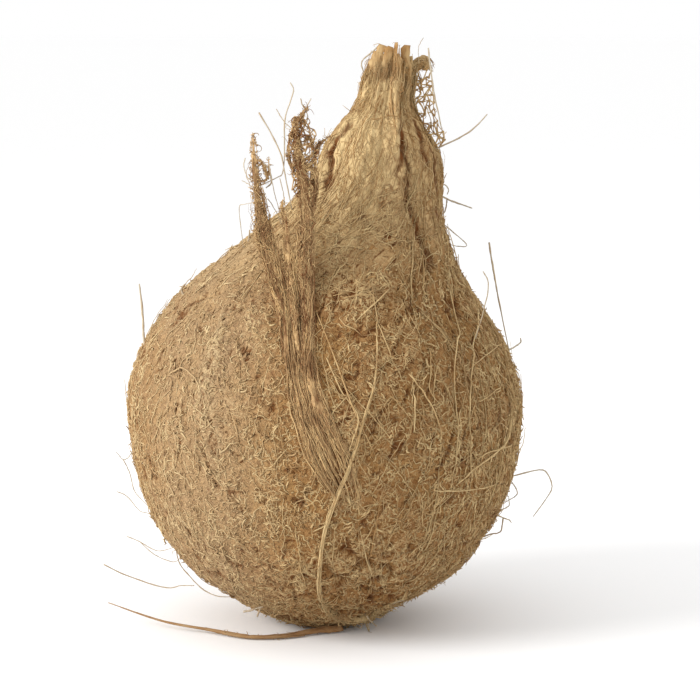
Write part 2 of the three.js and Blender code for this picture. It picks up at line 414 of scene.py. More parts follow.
    def furrows(self, turn, way):
        """The crown's furrows one by one, each exp(-(distance / width)^2), the distance being
        that round the crown from the furrow's middle line, which noise shifts, faded at both
        ends of the line; and with it the depth."""
        height, radius, point = self.height(way), self.radius(way), self.skin(turn, way)
        sway = noise(point, 4 * MM, 16) + 0.5 * noise(point, 1.5 * MM, 17)
        for rows, width, depth in FURROWS:
            heights, turns = np.array(rows).T
            heights = heights * MM
            off = (turn - np.interp(height, heights, turns) + pi) % (2 * pi) - pi
            ends = smooth(heights[0] - 3 * MM, heights[0] + 5 * MM, height)
            ends = ends * (1 - smooth(heights[-1] - 4 * MM, heights[-1] + 2 * MM, height))
            yield ends * np.exp(-((off * radius / (width * MM) + sway) ** 2)), depth * MM

    def hollows(self, turn, way):
        """From 0 to 1 in the pits, the furrows and the folds, which are darker: the pits show the
        real pith, and the darkening in the furrows and folds is painted shade.
        """
        furrows = sum(furrow for furrow, _ in self.furrows(turn, way))
        mottled = 0.95 + 0.5 * noise(self.skin(turn, way), 3 * MM, 19)
        folds = 0.6 * self.folds(turn, way)
        return np.clip(self.pits(turn, way) + furrows * mottled + folds, 0, 1)

    def coat(self, turn, way, lift=0.0):
        """A point on the coat, lifted from it, and the skin's normal there."""
        normal = self.normal(turn, way)
        out = self.relief(turn, way) + lift
        point = self.skin(turn, way) + normal * out[..., None]
        point[..., 2] = np.maximum(point[..., 2], COAT_LOWEST)
        return point, normal

    def front(self, x, height, lift):
        """The front of the coat at that x and height, lifted from it, and the normal there."""
        across = (x - self.middle(height)) / self.half_width(height)
        return self.coat(np.arcsin(np.clip(across, -0.995, 0.995)), self.way(height), lift)

    def scatter(self, rng, count, density):
        """count places spread over the skin. A place is drawn evenly by area, by the inverse of
        the summed radius along the way, and kept with the chance that density gives."""
        area, draws = np.cumsum(self.radii), count * 16
        turn = rng.uniform(-pi, pi, draws)
        way = np.interp(rng.uniform(0, area[-1], draws), area, self.ways)
        wanted = rng.random(draws) < density(turn, way)
        return turn[wanted][:count], way[wanted][:count]


# ---------------------------------------------------------------- meshes


def belt(rings, sides):
    """The faces between rings of points that follow each other, corners up, round and down."""
    k, after = np.arange(sides), (np.arange(sides) + 1) % sides
    first = np.arange(rings - 1)[:, None] * sides
    return np.stack([first + k, first + sides + k, first + sides + after, first + after], -1)


def new_piece(name, points, faces, replaced=(), slot="fibre_coat", **layers):
    """A mesh object from vertices and arrays of faces, riding on the nut. layers are numbers for
    each vertex, and uv is two numbers for each corner."""
    mesh = bpy.data.meshes.new(name)
    corners = np.concatenate([f.ravel() for f in faces])
    sizes = np.concatenate([np.full(len(f), f.shape[1]) for f in faces])
    mesh.vertices.add(len(points))
    mesh.vertices.foreach_set("co", np.asarray(points, np.float32).ravel())
    mesh.loops.add(len(corners))
    mesh.loops.foreach_set("vertex_index", corners.astype(np.int32))
    mesh.polygons.add(len(sizes))
    mesh.polygons.foreach_set("loop_start", (np.cumsum(sizes) - sizes).astype(np.int32))
    mesh.polygons.foreach_set("use_smooth", np.ones(len(sizes), bool))
    mesh.update(calc_edges=True)
    uv = layers.pop("uv", None)
    if uv is not None:
        layer = mesh.uv_layers.new(name="OFBake")
        layer.uv.foreach_set("vector", np.asarray(uv, np.float32).ravel())
    for key, values in layers.items():
        attribute = mesh.attributes.new(key, "FLOAT", "POINT")
        attribute.data.foreach_set("value", np.asarray(values, np.float32).ravel())
    piece = bpy.data.objects.new(name, mesh)
    bpy.context.scene.collection.objects.link(piece)
    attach(piece, "root")
    if replaced:
        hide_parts(*replaced)
    return piece


def tubes(paths, facing, widths, thicks=None, sides=3):
    """Closed tubes, one for each path of points. A tube's ring is c + w cos(a) side + t sin(a)
    out, where side is at right angles to the path and to facing, and out to the path and side.
    Each tube has its own square of the map, its sides in the middle and an end at each edge."""
    count, rings = paths.shape[:2]
    thicks = widths if thicks is None else thicks
    along = unit(np.gradient(paths, axis=1))
    side = unit(np.cross(along, np.broadcast_to(facing, paths.shape)))
    out = np.cross(side, along)
    angle = np.arange(sides) * 2 * pi / sides
    points = (
        paths[:, :, None]
        + (widths[:, :, None] * np.cos(angle))[..., None] * side[:, :, None]
        + (thicks[:, :, None] * np.sin(angle))[..., None] * out[:, :, None]
    )
    start = np.arange(count)[:, None] * rings * sides
    quads = (start[:, None, None] + belt(rings, sides)).reshape(-1, 4)
    ends = np.arange(sides)[None]
    caps = [start + ends, start + (rings - 1) * sides + ends[:, ::-1]]

    # In a tube's square its sides go from 0.08 to 0.92 and from 0.16 to 0.84, under and over
    # them a flat disc for each end. The squares stand in rows of cells.
    cells = int(np.ceil(sqrt(count)))
    corner = np.stack([np.arange(count) % cells, np.arange(count) // cells], -1)
    k, ring = np.arange(sides), np.arange(rings - 1)[:, None]
    u = np.stack([k, k, k + 1, k + 1], -1) / sides
    v = np.stack([ring, ring + 1, ring + 1, ring], -1) / (rings - 1)
    u, v = (np.broadcast_to(a, (count, rings - 1, sides, 4)) for a in (u, v))
    body = np.stack([0.08 + 0.84 * u, 0.16 + 0.68 * v], -1) + corner[:, None, None, None]
    disc = np.stack([0.5 + 0.4 * np.cos(angle), 0.07 + 0.06 * np.sin(angle)], -1)
    lower = disc[None] + corner[:, None]
    upper = (disc * (1, -1) + (0, 1))[None] + corner[:, None]
    uv = np.concatenate([a.reshape(-1, 2) for a in (body, lower, upper)]) / cells
    return points.reshape(-1, 3), [quads, *caps], uv


def fibre_piece(name, paths, facing, widths, tone, hollow=None, material="loose_fibre", **said):
    """A piece of three-sided fibres. tone and hollow are numbers for each fibre, or for each of its
    rings; hollow darkens the fibres as painted shade where they lie in a hollow."""
    points, faces, uv = tubes(paths, facing, widths)
    layers = {"tone": np.clip(tone, 0, 1)}
    if hollow is not None:
        layers["hollow"] = hollow
    for key, values in layers.items():
        by_ring = np.broadcast_to(values.reshape(len(paths), -1), widths.shape)
        layers[key] = np.repeat(by_ring.ravel(), 3)
    piece = new_piece(name, points, faces, uv=uv, **layers, **said)
    piece.data.materials.append(palette()[material])


def strand_piece(name, made, material, **said):
    """A piece from joined strands, whose tones run from 0 to 1, in one of the fibre materials."""
    points, faces, uv, tone = made
    tone = np.clip(tone + 0.3 * noise(points, 2.5 * MM, 44), 0, 1)
    piece = new_piece(name, points, faces, uv=uv, tone=tone, **said)
    piece.data.materials.append(palette()[material])


def above_floor(made):
    """The same strand with its points kept off the floor."""
    made[0][:, 2] = np.maximum(made[0][:, 2], STRAND_LOWEST)
    return made


# ---------------------------------------------------------------- materials


class Term:
    """A socket that Python's operators turn into Math nodes."""

    def __init__(self, shader, socket):
        self.shader = shader
        self.socket = socket

    def math(self, operation, *inputs):
        settings = {"operation": operation}
        return self.shader.add("ShaderNodeMath", settings, enumerate(inputs)).term(0)

    def __add__(self, other):
        return self.math("ADD", self, other)

    def __mul__(self, other):
        return self.math("MULTIPLY", self, other)

    def __sub__(self, other):
        return self.math("SUBTRACT", self, other)

    def __rsub__(self, other):
        return self.math("SUBTRACT", other, self)

    def __abs__(self):
        return self.math("ABSOLUTE", self)

    __radd__, __rmul__ = __add__, __mul__

    def step(self, low, high):
        """3t^2 - 2t^3 with t the share of the way from low to high."""
        settings = {"interpolation_type": "SMOOTHSTEP"}
        inputs = {"Value": self, "From Min": low, "From Max": high}
        return self.shader.add("ShaderNodeMapRange", settings, inputs).term("Result")


class Made:
    """A node that was just added, which gives its outputs as terms."""

    def __init__(self, shader, node):
        self.shader = shader
        self.node = node

    def term(self, output):
        return Term(self.shader, self.node.outputs[output])


class Shader:
    """A new material with one Principled BSDF."""

    def __init__(self, name, roughness=0.9, specular=0.2):
        self.material = bpy.data.materials.new(name)
        self.material.use_nodes = True
        self.tree = self.material.node_tree
        self.surface = self.tree.nodes["Principled BSDF"]
        self.surface.inputs["Roughness"].default_value = roughness
        self.surface.inputs["Specular IOR Level"].default_value = specular

    def add(self, kind, settings=(), inputs=()):
        """A node of that type, with its settings and then the values or links of its inputs."""
        node = self.tree.nodes.new(kind)
        for key, value in dict(settings).items():
            setattr(node, key, value)
        for key, value in dict(inputs).items():
            if isinstance(value, Term):
                self.tree.links.new(value.socket, node.inputs[key])
            else:
                node.inputs[key].default_value = value
        return Made(self, node)

    def feed(self, name, term):
        self.tree.links.new(term.socket, self.surface.inputs[name])

    def number(self, name):
        """The mesh's own numbers of that name."""
        return self.add("ShaderNodeAttribute", {"attribute_name": name}).term("Fac")

    def place(self, stretch=(1, 1, 1)):
        """Object coordinates, stretched."""
        where = self.add("ShaderNodeTexCoord").term("Object")
        return self.add("ShaderNodeMapping", {}, {"Vector": where, "Scale": stretch}).term(0)

    def axis(self, name):
        """Object x, y or z."""
        return self.add("ShaderNodeSeparateXYZ", {}, {"Vector": self.place()}).term(name)

    def wear_and_lit_left(self):
        """1 in the band on the left of the front where a paler colour is painted as a highlight,
        less near the left edge.
        """
        x = self.axis("X")
        return x.step(-4 * MM, -31 * MM) * (1 - 0.55 * x.step(-42 * MM, -56 * MM))

    def low(self):
        """1 at the base and 0 above it: where the colour is darkened as painted shade near the
        floor.
        """
        return 1 - self.axis("Z").step(12 * MM, 52 * MM)

    def noise(self, size, detail=2.0, where=None, distortion=0.0):
        """Noise from 0 to 1 with features of that size."""
        inputs = {
            "Vector": where or self.place(),
            "Scale": 1 / size,
            "Detail": detail,
            "Distortion": distortion,
        }
        return self.add("ShaderNodeTexNoise", {}, inputs).term("Fac")

    def layers(self, base, *over):
        """The base colour with others mixed over it, each by its own share, as Base Color."""
        base = (*base, 1)
        for share, colour in over:
            inputs = {0: share, 6: base, 7: (*colour, 1)}
            base = self.add("ShaderNodeMix", {"data_type": "RGBA"}, inputs).term(2)
        self.feed("Base Color", base)

    def bump(self, height, distance, strength):
        inputs = {"Height": height, "Distance": distance, "Strength": strength}
        self.feed("Normal", self.add("ShaderNodeBump", {}, inputs).term("Normal"))


def coat_material(colours):
    """Matted coat: pith in the pits, paler on the ridges, with winding ridges of its own that are
    finer than the mesh. The pith colour in the furrows and folds and towards the base is painted
    shade, and a paler colour on the left of the front is a painted highlight. The crown is paler,
    with upright streaks, and darker on its right, which is painted shade."""
    shader = Shader("coat_fibre_mat", roughness=0.95, specular=0.1)
    worms = 1 - abs(shader.noise(1.3 * MM, 2.0, distortion=0.8) - 0.5) * 7.0
    streaks = shader.noise(1.2 * MM, 2.0, shader.place((1, 1, 0.15)))
    height = shader.number("relief")
    crown = shader.number("crown")
    hollow = shader.number("hollow")
    patches = shader.noise(12 * MM, 3.0)
    fine = worms * (1 - crown) + streaks.step(0.3, 0.7) * crown
    pale = (fine * 0.32 + height * 0.3 + patches * 0.7 + crown * 0.35).step(0, 0.95)
    # 1 on the crown's right, where its colour is darkened as painted shade.
    right = shader.axis("X").step(12 * MM, 32 * MM)
    mottles = shader.noise(3.5 * MM, 3.0, shader.place((1, 1, 0.6)))
    shader.layers(
        colours.tan,
        (pale, colours.coat),
        ((fine + height * 0.6).step(0.6, 1.5) * 0.7, colours.straw),
        # The crown's own paler straw, with less of it on the right as painted shade.
        (crown * (0.95 - 0.4 * right), colours.straw),
        ((1 - fine).step(0.35, 1.3) * (1 - crown) * 0.75, colours.pith),
        # Reddish mottles are the crown's own colour; the more of them on its right is painted
        # shade.
        (mottles.step(0.5, 0.7) * crown * (0.22 + 0.4 * right), colours.reddish),
        # Painted highlight: a paler colour on the left of the front.
        (shader.wear_and_lit_left() * 0.3, colours.wear_and_lit_left),
        # Painted shade: pith colour towards the base.
        (shader.low() * 0.15, colours.pith),
        (shader.number("stain") * 0.75, colours.reddish),
        # Pith in the pits is the coat's own colour; the same pith in the furrows and folds is
        # painted shade.
        ((hollow + fine * -0.3).step(0.05, 0.85), colours.pith),
    )
    shader.bump(fine + streaks * 0.4, 0.4 * MM, 0.8)
    return shader.material


def fibre_material(name, dark, pale, warm, deep, wear_and_lit_left):
    """Loose fibres: each has a tone of its own between the dark and the pale colour, and some areas
    are warmer. The left of the front has a paler colour painted on as a highlight, and the base and
    the parts that lie in a hollow have the deep colour painted on as shade."""
    shader = Shader(name, roughness=0.75, specular=0.2)
    streaks = shader.noise(0.5 * MM, 2.0, shader.place((1, 1, 0.12)))
    shader.layers(
        dark,
        (shader.number("tone"), pale),
        (shader.noise(9 * MM).step(0.5, 0.75) * 0.4, warm),
        # Painted highlight: a paler colour on the left of the front.
        (shader.wear_and_lit_left() * 0.3, wear_and_lit_left),
        # Painted shade: the deep colour towards the base.
        (shader.low() * 0.12, deep),
        (streaks.step(0.48, 0.66) * 0.35, deep),
        # Painted shade: the deep colour where a fibre lies in a hollow.
        (shader.number("hollow").step(0, 0.9) * 0.8, deep),
    )
    return shader.material


def palette():
    """The fibre materials by name, made when first asked for."""
    colours = bpy.context.scene.husk_colours
    # Each kind: dark, pale and warm colours, the deep colour, which is also painted as shade at the
    # base and in the hollows, and the paler colour painted on the left of the front as a highlight.
    kinds = {
        "loose_fibre": ("tan", "straw", "coat", "pith", "wear_and_lit_left"),
        "reddish_fibre": ("reddish", "reddish_pale", "reddish", "pith", "reddish_pale"),
        "strip_fibre": ("coat", "strip", "tan", "coat", "strip"),
        "hair_fibre": ("hair", "hair_pale", "straw", "tan", "hair_pale"),
    }
    return {
        name: bpy.data.materials.get(name)
        or fibre_material(name, *(getattr(colours, colour) for colour in kinds[name]))
        for name in kinds
    }


# ---------------------------------------------------------------- making fibres


# The lowest and the highest way that a fibre on the coat reaches.
FIBRE_WAYS = (0.03, 0.965)


def wandering(nut, rng, turn, way, heading, lengths, turning, rings, lift, tip_lift):
    """Paths that wander over the coat. Each heads off at an angle from level, which changes by a
    smooth random walk, so that turn = turn0 + sum(cos h ds) / r and way = way0 + sum(sin h ds) /
    profile length. A path starts in the coat and is lifted from it by lift sin(pi s) + tip s^2."""
    count = len(turn)
    share = np.linspace(0, 1, rings)
    swing = rng.normal(0, 1, (count, rings)) * turning[:, None]
    swing[:, 0] = 0
    swing = np.cumsum(swing, axis=1) * 0.6 + swing * 0.4
    angle = heading[:, None] + swing
    step = lengths[:, None] / (rings - 1) * (share > 0)
    radius = np.maximum(nut.radius(way), 4 * MM)[:, None]
    turns = turn[:, None] + np.cumsum(np.cos(angle) * step, axis=1) / radius
    ways = way[:, None] + np.cumsum(np.sin(angle) * step, axis=1) / nut.length
    ways = np.clip(ways, *FIBRE_WAYS)
    lifts = lift[:, None] * np.sin(pi * np.minimum(share * 1.1, 1)) + tip_lift[:, None] * share**2
    lifts = lifts + rng.normal(0, 1, (count, rings)) * 0.06 * MM
    points, normals = nut.coat(turns, ways, lifts - 0.02 * MM)
    # The last value marks the hollows, where the fibres' colour is darkened as painted shade.
    return points, normals, nut.hollows(turns, ways)


def taper(radii, rings, start=0.7, tip=0.45):
    """Radii that swell from start to the full radius and narrow again to the tip."""
    share = np.linspace(0, 1, rings)
    shape = np.minimum(start + 3 * share, 1) * (1 - (1 - tip) * share**3)
    return radii[:, None] * shape


def curls(rng, starts, heads, lengths, rings, bend):
    """Paths that leave their starts and curl. At each step a path's heading h becomes the unit
    vector of h + spin x h, and its spin changes by a random walk, in steps set by bend."""
    paths = np.empty((len(starts), rings, 3))
    paths[:, 0] = starts
    heading = unit(heads)
    spin = rng.normal(0, 1, starts.shape) * bend
    step = (lengths / (rings - 1))[:, None]
    for ring in range(1, rings):
        spin = 0.85 * spin + rng.normal(0, 0.45, starts.shape) * bend
        heading = unit(heading + np.cross(spin, heading))
        paths[:, ring] = paths[:, ring - 1] + heading * step
    return paths


def toned(rng, made, count, low=0.0, high=1.0):
    """Tubes with a tone for each of them, drawn from between low and high."""
    points = made[0]
    tone = low + (high - low) * rng.beta(0.9, 0.75, count)
    return (*made, np.repeat(tone, len(points) // count))


def joined(*made):
    """One set of points, faces, map and tones from several. Each has its own upright part of the
    map. Their maps are in the order of their quads, and then of each tube's two ends, so the
    faces stay in that order."""
    points, faces, maps, tones, start = [], [], [], [], 0
    for column, (some_points, some_faces, uv, tone) in enumerate(made):
        points.append(some_points)
        faces += [array + start for array in some_faces]
        start += len(some_points)
        maps.append((uv + (column, 0)) / (len(made), 1))
        tones.append(tone)
    return np.concatenate(points), faces, np.concatenate(maps), np.concatenate(tones)


def web(rng, inner, outer, shake, radii, kept=0.75):
    """A net between two lines of points. Its knots are columns between the lines, shaken, and
    most knots are tied to the next one across, the next one up and the one beyond it by a curve
    (1 - s)^2 a + 2 s (1 - s) m + s^2 b, whose m is off the middle, and which is thinner there.
    With the net come its threads' middles."""
    columns, rings = 6, 7
    share = np.linspace(0, 1, columns)[None, :, None]
    knots = inner[:, None] * (1 - share) + outer[:, None] * share
    knots = knots + rng.normal(0, 1, knots.shape) * shake * (0.4 + np.minimum(share, 1 - share))
    knots[1:-1:2, 1:-1] += 0.5 * (knots[2::2, 1:-1] - knots[1:-1:2, 1:-1])
    starts = [knots[:, :-1], knots[:-1], knots[:-1, :-1]]
    ends = [knots[:, 1:], knots[1:], knots[1:, 1:]]
    starts = np.concatenate([k.reshape(-1, 3) for k in starts])
    ends = np.concatenate([k.reshape(-1, 3) for k in ends])
    tied = rng.random(len(starts)) < kept
    starts, ends = starts[tied], ends[tied]
    count = len(starts)
    middles = (starts + ends) / 2 + rng.normal(0, 0.4, (count, 3)) * MM
    share = np.linspace(0, 1, rings)[None, :, None]
    paths = (
        starts[:, None] * (1 - share) ** 2
        + 2 * middles[:, None] * share * (1 - share)
        + ends[:, None] * share**2
    )
    waist = 1 - 0.4 * np.sin(pi * np.linspace(0, 1, rings))
    widths = rng.uniform(*radii, count)[:, None] * waist
    return toned(rng, tubes(paths, TO_FRONT, widths, sides=5), count, 0.1, 0.9), middles


class Strand:
    """A curve with a flat section. Its point at a share s of its length, an angle a round it and
    k of the way out is c(s) + k (w(s) cos(a) side(s) + t(s) sin(a) out(s)), where w and t are half
    its width and thickness there, side is level with the surface behind it, and out leaves it."""

    def __init__(self, centre, facing, half_width, half_thick):
        along = unit(np.gradient(centre, axis=0))
        side = unit(np.cross(along, facing))
        self.centre, self.facing = centre, facing
        self.half_width, self.half_thick = half_width, half_thick
        wide, deep = side * half_width[:, None], np.cross(side, along) * half_thick[:, None]
        self.rows = np.concatenate([centre, wide, deep, facing], axis=1)

    def at(self, share, angle, out):
        """The strand's points at those shares, angles and parts of the way out, and facing."""
        place = np.clip(share, 0, 1) * (len(self.rows) - 1)
        k = np.minimum(place.astype(int), len(self.rows) - 2)
        part = (place - k)[..., None]
        rows = self.rows[k] * (1 - part) + self.rows[k + 1] * part
        centre, wide, deep, facing = np.split(rows, 4, axis=-1)
        angle, out = angle[..., None], out[..., None]
        return centre + out * (np.cos(angle) * wide + np.sin(angle) * deep), facing

    def core(self, size, rough, sides=14):
        """The matted middle: a closed tube of the strand's section times size, thinner at the
        tip, each point moved to the curve or from it by noise that is drawn out along it."""
        tip = smooth(0.85, 1, np.linspace(0, 1, len(self.centre)))
        points, faces, uv = tubes(
            self.centre[None], self.facing[None], (self.half_width * size * (1 - 0.2 * tip))[None],
            (self.half_thick * size * (1 - 0.6 * tip))[None], sides,
        )
        middle = np.repeat(self.centre, sides, axis=0)
        drawn = points * (1, 1, 0.3)
        uneven = noise(drawn, 0.9 * MM, 41) + 0.8 * noise(points, 0.7 * MM, 42)
        points = middle + (points - middle) * (1 + rough * uneven)[:, None]
        return points, faces, uv, 0.35 + 0.4 * noise(drawn, 0.7 * MM, 43) + 0.3 * uneven

    def fibres(self, rng, count, lowest, highest, radius, rings=14, wander=0.2, upward=1.0):
        """Fibres along the strand. Each starts at a share between 0 and lowest and ends between
        highest and 1, or is a random part of that way, at its own angle and distance out. Those
        parts are higher up where upward is over 1."""
        start = rng.uniform(0, lowest, count)[:, None]
        end = rng.uniform(highest, 1, count)[:, None]
        part = rng.uniform(0.3, 1, count)[:, None]
        slide = rng.uniform(0, 1, (count, 1)) ** (1 / upward)
        start = start + (end - start) * slide * (1 - part)
        share = start + (end - start) * part * np.linspace(0, 1, rings)
        walk = np.cumsum(rng.normal(0, 1, (count, rings, 2)), axis=1) * wander
        angle = rng.uniform(-pi, pi, (count, 1)) + walk[..., 0]
        out = np.sqrt(rng.uniform(0.35, 1.1, (count, 1))) + 0.35 * walk[..., 1]
        paths, facing = self.at(share, angle, out)
        radii = radius * rng.uniform(0.6, 1.3, count)
        return toned(rng, tubes(paths, facing, taper(radii, rings)), count)

    def tangle(self, rng, count, lowest, highest, lengths, bend, radius, rings=10):
        """Short curly fibres that leave the strand sideways and upwards between two shares."""
        share = rng.uniform(lowest, highest, count)
        angle = rng.uniform(-pi, pi, count)
        starts, facing = self.at(share, angle, np.full(count, 0.8))
        ahead = self.at(np.minimum(share + 0.05, 1), angle, np.full(count, 0.8))[0]
        out = unit(starts - self.at(share, angle, np.zeros(count))[0])
        heads = out + unit(ahead - starts + 1e-6) * rng.uniform(-0.4, 1.2, (count, 1))
        sizes = lengths * rng.gamma(3, 1 / 3, count)
        paths = curls(rng, starts, heads, sizes, rings, bend)
        radii = radius * rng.uniform(0.6, 1.3, count)
        return toned(rng, tubes(paths, facing[:, None], taper(radii, rings)), count)


# ---------------------------------------------------------------- the pieces


class CoconutOperator(bpy.types.Operator):
    """Base of the operators here"""

    bl_options = {"REGISTER", "UNDO"}

    def execute(self, context):
        self.nut = Nut(context.scene.husk_nut)
        self.fibres = context.scene.husk_fibres
        self.build(context)
        return {"FINISHED"}


class COCONUT_OT_coat(CoconutOperator):
    """Adds the fibre coat of the body and that of the crown, which together stand for the nut"""

    bl_idname = "coconut.coat"
    bl_label = "Fibre Coat"

    # The height where the crown's shell starts, and how far the body's goes on under it, and
    # how deep; then the rings and sides of the two grids, and of the crown's flat top.
    SPLIT = 119 * MM
    OVERLAP = 1.2 * MM
    SUNK = 0.6 * MM
    BODY_RINGS, BODY_SIDES = 235, 418
    CROWN_RINGS, TOP_RINGS, CROWN_SIDES = 170, 9, 320

    def build(self, context):
        split, above = self.nut.way(self.SPLIT), self.nut.way(self.SPLIT + self.OVERLAP)
        body = np.linspace(0, above, self.BODY_RINGS)[1:]
        side = np.linspace(split, 0.975, self.CROWN_RINGS)
        crown = np.concatenate([side, np.linspace(0.978, 1, self.TOP_RINGS)[:-1]])
        material = coat_material(context.scene.husk_colours)
        for name, way, sides, sunk in (
            ("body_coat", body, self.BODY_SIDES, self.SPLIT),
            ("crown_coat", crown, self.CROWN_SIDES, self.nut.size.crown_top),
        ):
            self.add_shell(name, way, sides, sunk).data.materials.append(material)

    def add_shell(self, name, way, sides, sunk):
        """A grid over the skin, closed at each end by a fan to the middle of its last ring. Above
        the height sunk it lies deeper, under the next shell's start."""
        turn = np.linspace(-pi, pi, sides, endpoint=False)
        turns, ways = np.meshgrid(turn, way)
        height = self.nut.height(ways)
        relief = self.nut.relief(turns, ways)
        points = self.nut.coat(turns, ways, -self.SUNK * smooth(sunk, sunk + 0.8 * MM, height))[0]
        middles = points[[0, -1]].mean(axis=1)
        rings = len(way)
        quads = belt(rings, sides)[..., [0, 3, 2, 1]]
        k, after = np.arange(sides), (np.arange(sides) + 1) % sides
        last, low = (rings - 1) * sides, rings * sides
        bottom = np.stack([np.full(sides, low), after, k], -1)
        top = np.stack([np.full(sides, low + 1), last + k, last + after], -1)
        crown = self.nut.corded(height)
        return new_piece(
            name,
            np.concatenate([points.reshape(-1, 3), middles]),
            [quads.reshape(-1, 4), bottom, top],
            replaced=["husked_nut"],
            relief=np.append(relief.ravel() / (0.8 * MM), [0, 0]),
            crown=np.append(crown.ravel(), [0, 1]),
            # The pith in the pits, and painted shade in the furrows and folds.
            hollow=np.append(self.nut.hollows(turns, ways).ravel(), [0, 0]),
            stain=np.append(self.nut.stain(turns, ways).ravel(), [0, 0]),
        )


class COCONUT_OT_short_fibres(CoconutOperator):
    """Adds the short curly fibres that are matted all over the coat"""

    bl_idname = "coconut.short_fibres"
    bl_label = "Short Fibres"

    RINGS = 6

    def build(self, context):
        for patch in range(self.fibres.patches):
            self.add_patch(patch)

    def density(self, turn, way):
        """The chance that a fibre starts at a place, less the share that is lost up the crown, at
        the left edge, in the pits, under the strands' roots, in the bare patches, in the folds
        and low on the left."""
        height = self.nut.height(way)
        chance = smooth(0.02, 0.07, way)
        for lost, where in (
            (0.8, smooth(124 * MM, 148 * MM, height)),
            (0.35, smooth(0.5, 0.95, -np.sin(turn))),
            (0.45, self.nut.pits(turn, way)),
            (0.75, self.nut.stain(turn, way)),
            (0.3, self.nut.bare(turn, way)),
            (0.55, self.nut.folds(turn, way)),
            (0.45, smooth(44 * MM, 20 * MM, height) * (1 - front_half(turn))),
        ):
            chance = chance * (1 - lost * where)
        return chance

    def add_patch(self, patch):
        rng = np.random.default_rng(100 + patch)
        nut = self.nut
        turn, way = nut.scatter(rng, self.fibres.short_count, self.density)
        count = len(turn)
        crown = smooth(112 * MM, 140 * MM, nut.height(way))
        side = smooth(0.4, 0.9, np.abs(np.sin(turn)))
        heading = rng.uniform(-pi, pi, count)
        upright = np.sign(np.sin(heading)) * pi / 2
        heading = heading + (upright - heading) * np.maximum(0.1 + 0.4 * side, 0.85 * crown)
        longer = rng.random(count) < 0.12
        lengths = self.fibres.short_length * rng.gamma(5, 1 / 5, count)
        lengths = lengths * (1 + 0.5 * crown) * np.where(longer, 2.6, 1)
        turning = rng.uniform(0.7, 1.9, count) * (1 - 0.75 * crown) * (1 - 0.3 * side)
        turning = turning * np.where(longer, 0.6, 1)
        lift = rng.uniform(0.0, 0.28, count) * MM
        loose = rng.random(count) < (0.04 + 0.12 * front_half(turn)) * (1 - crown)
        tip_lift = np.where(loose, rng.uniform(0.4, 1.6, count), rng.uniform(-0.3, 0.1, count))
        paths, normals, hollow = wandering(
            nut, rng, turn, way, heading, lengths, turning, self.RINGS, lift, tip_lift * MM
        )
        radii = self.fibres.fibre_radius * rng.uniform(0.45, 1.35, count)
        radii = radii * np.where(longer, 0.7, 1) * (1 - 0.45 * crown)
        widths = taper(radii, self.RINGS, 0.55, 0.4)
        places = nut.skin(turn, way)
        tone = rng.beta(2, 2, count) + 0.3 * noise(places, 7 * MM, 21) + 0.3 * longer
        tone = tone + 0.3 * noise(places, 2.4 * MM, 22)
        fibre_piece(f"short_fibres_{patch + 1}", paths, normals, widths, tone, hollow)


class COCONUT_OT_long_fibres(CoconutOperator):
    """Adds the long fibres that run up and down the coat, most of them on the right and the thick
    ones only there, and a ruff of wavy ones round the foot of the crown"""

    bl_idname = "coconut.long_fibres"
    bl_label = "Long Fibres"

    RINGS = 13
    RUFF = 170
    THICK_SHARE = 0.06

    def build(self, context):
        rng = np.random.default_rng(7)
        nut, ruff = self.nut, self.RUFF

        def density(turn, way):
            height = nut.height(way)
            side = 0.2 + 0.8 * smooth(0.1, 0.9, front_half(turn - 0.3))
            return side * smooth(0.04, 0.12, way) * (1 - 0.5 * smooth(120 * MM, 150 * MM, height))

        turn, way = nut.scatter(rng, self.fibres.long_count, density)
        turn = np.concatenate([turn, rng.normal(0.2, 0.7, ruff)])
        way = np.concatenate([way, nut.way(rng.uniform(104, 128, ruff) * MM)])
        count = len(turn)
        heading = pi / 2 + rng.normal(0, 0.3, count)
        heading[-ruff:] = rng.uniform(-0.4, 2.2, ruff)
        thick = (rng.random(count) < self.THICK_SHARE) & (np.sin(turn) > -0.1)
        thick[-ruff:] = False
        lengths = np.where(thick, rng.uniform(22, 40, count), rng.gamma(4, 2.6, count)) * MM
        turning = np.where(thick, 0.06, rng.uniform(0.08, 0.35, count))
        turning[-ruff:] += 0.25
        lift = rng.uniform(0.3, 0.8, count) * MM
        tip_lift = np.where(rng.random(count) < 0.1, rng.uniform(0.5, 3, count), 0) * MM
        paths, normals, _ = wandering(
            nut, rng, turn, way, heading, lengths, turning, self.RINGS, lift, tip_lift
        )
        radii = np.where(thick, rng.uniform(0.2, 0.3, count), rng.uniform(0.09, 0.18, count)) * MM
        widths = taper(radii, self.RINGS)
        fibre_piece("long_fibres", paths, normals, widths, rng.beta(2.4, 1.4, count))


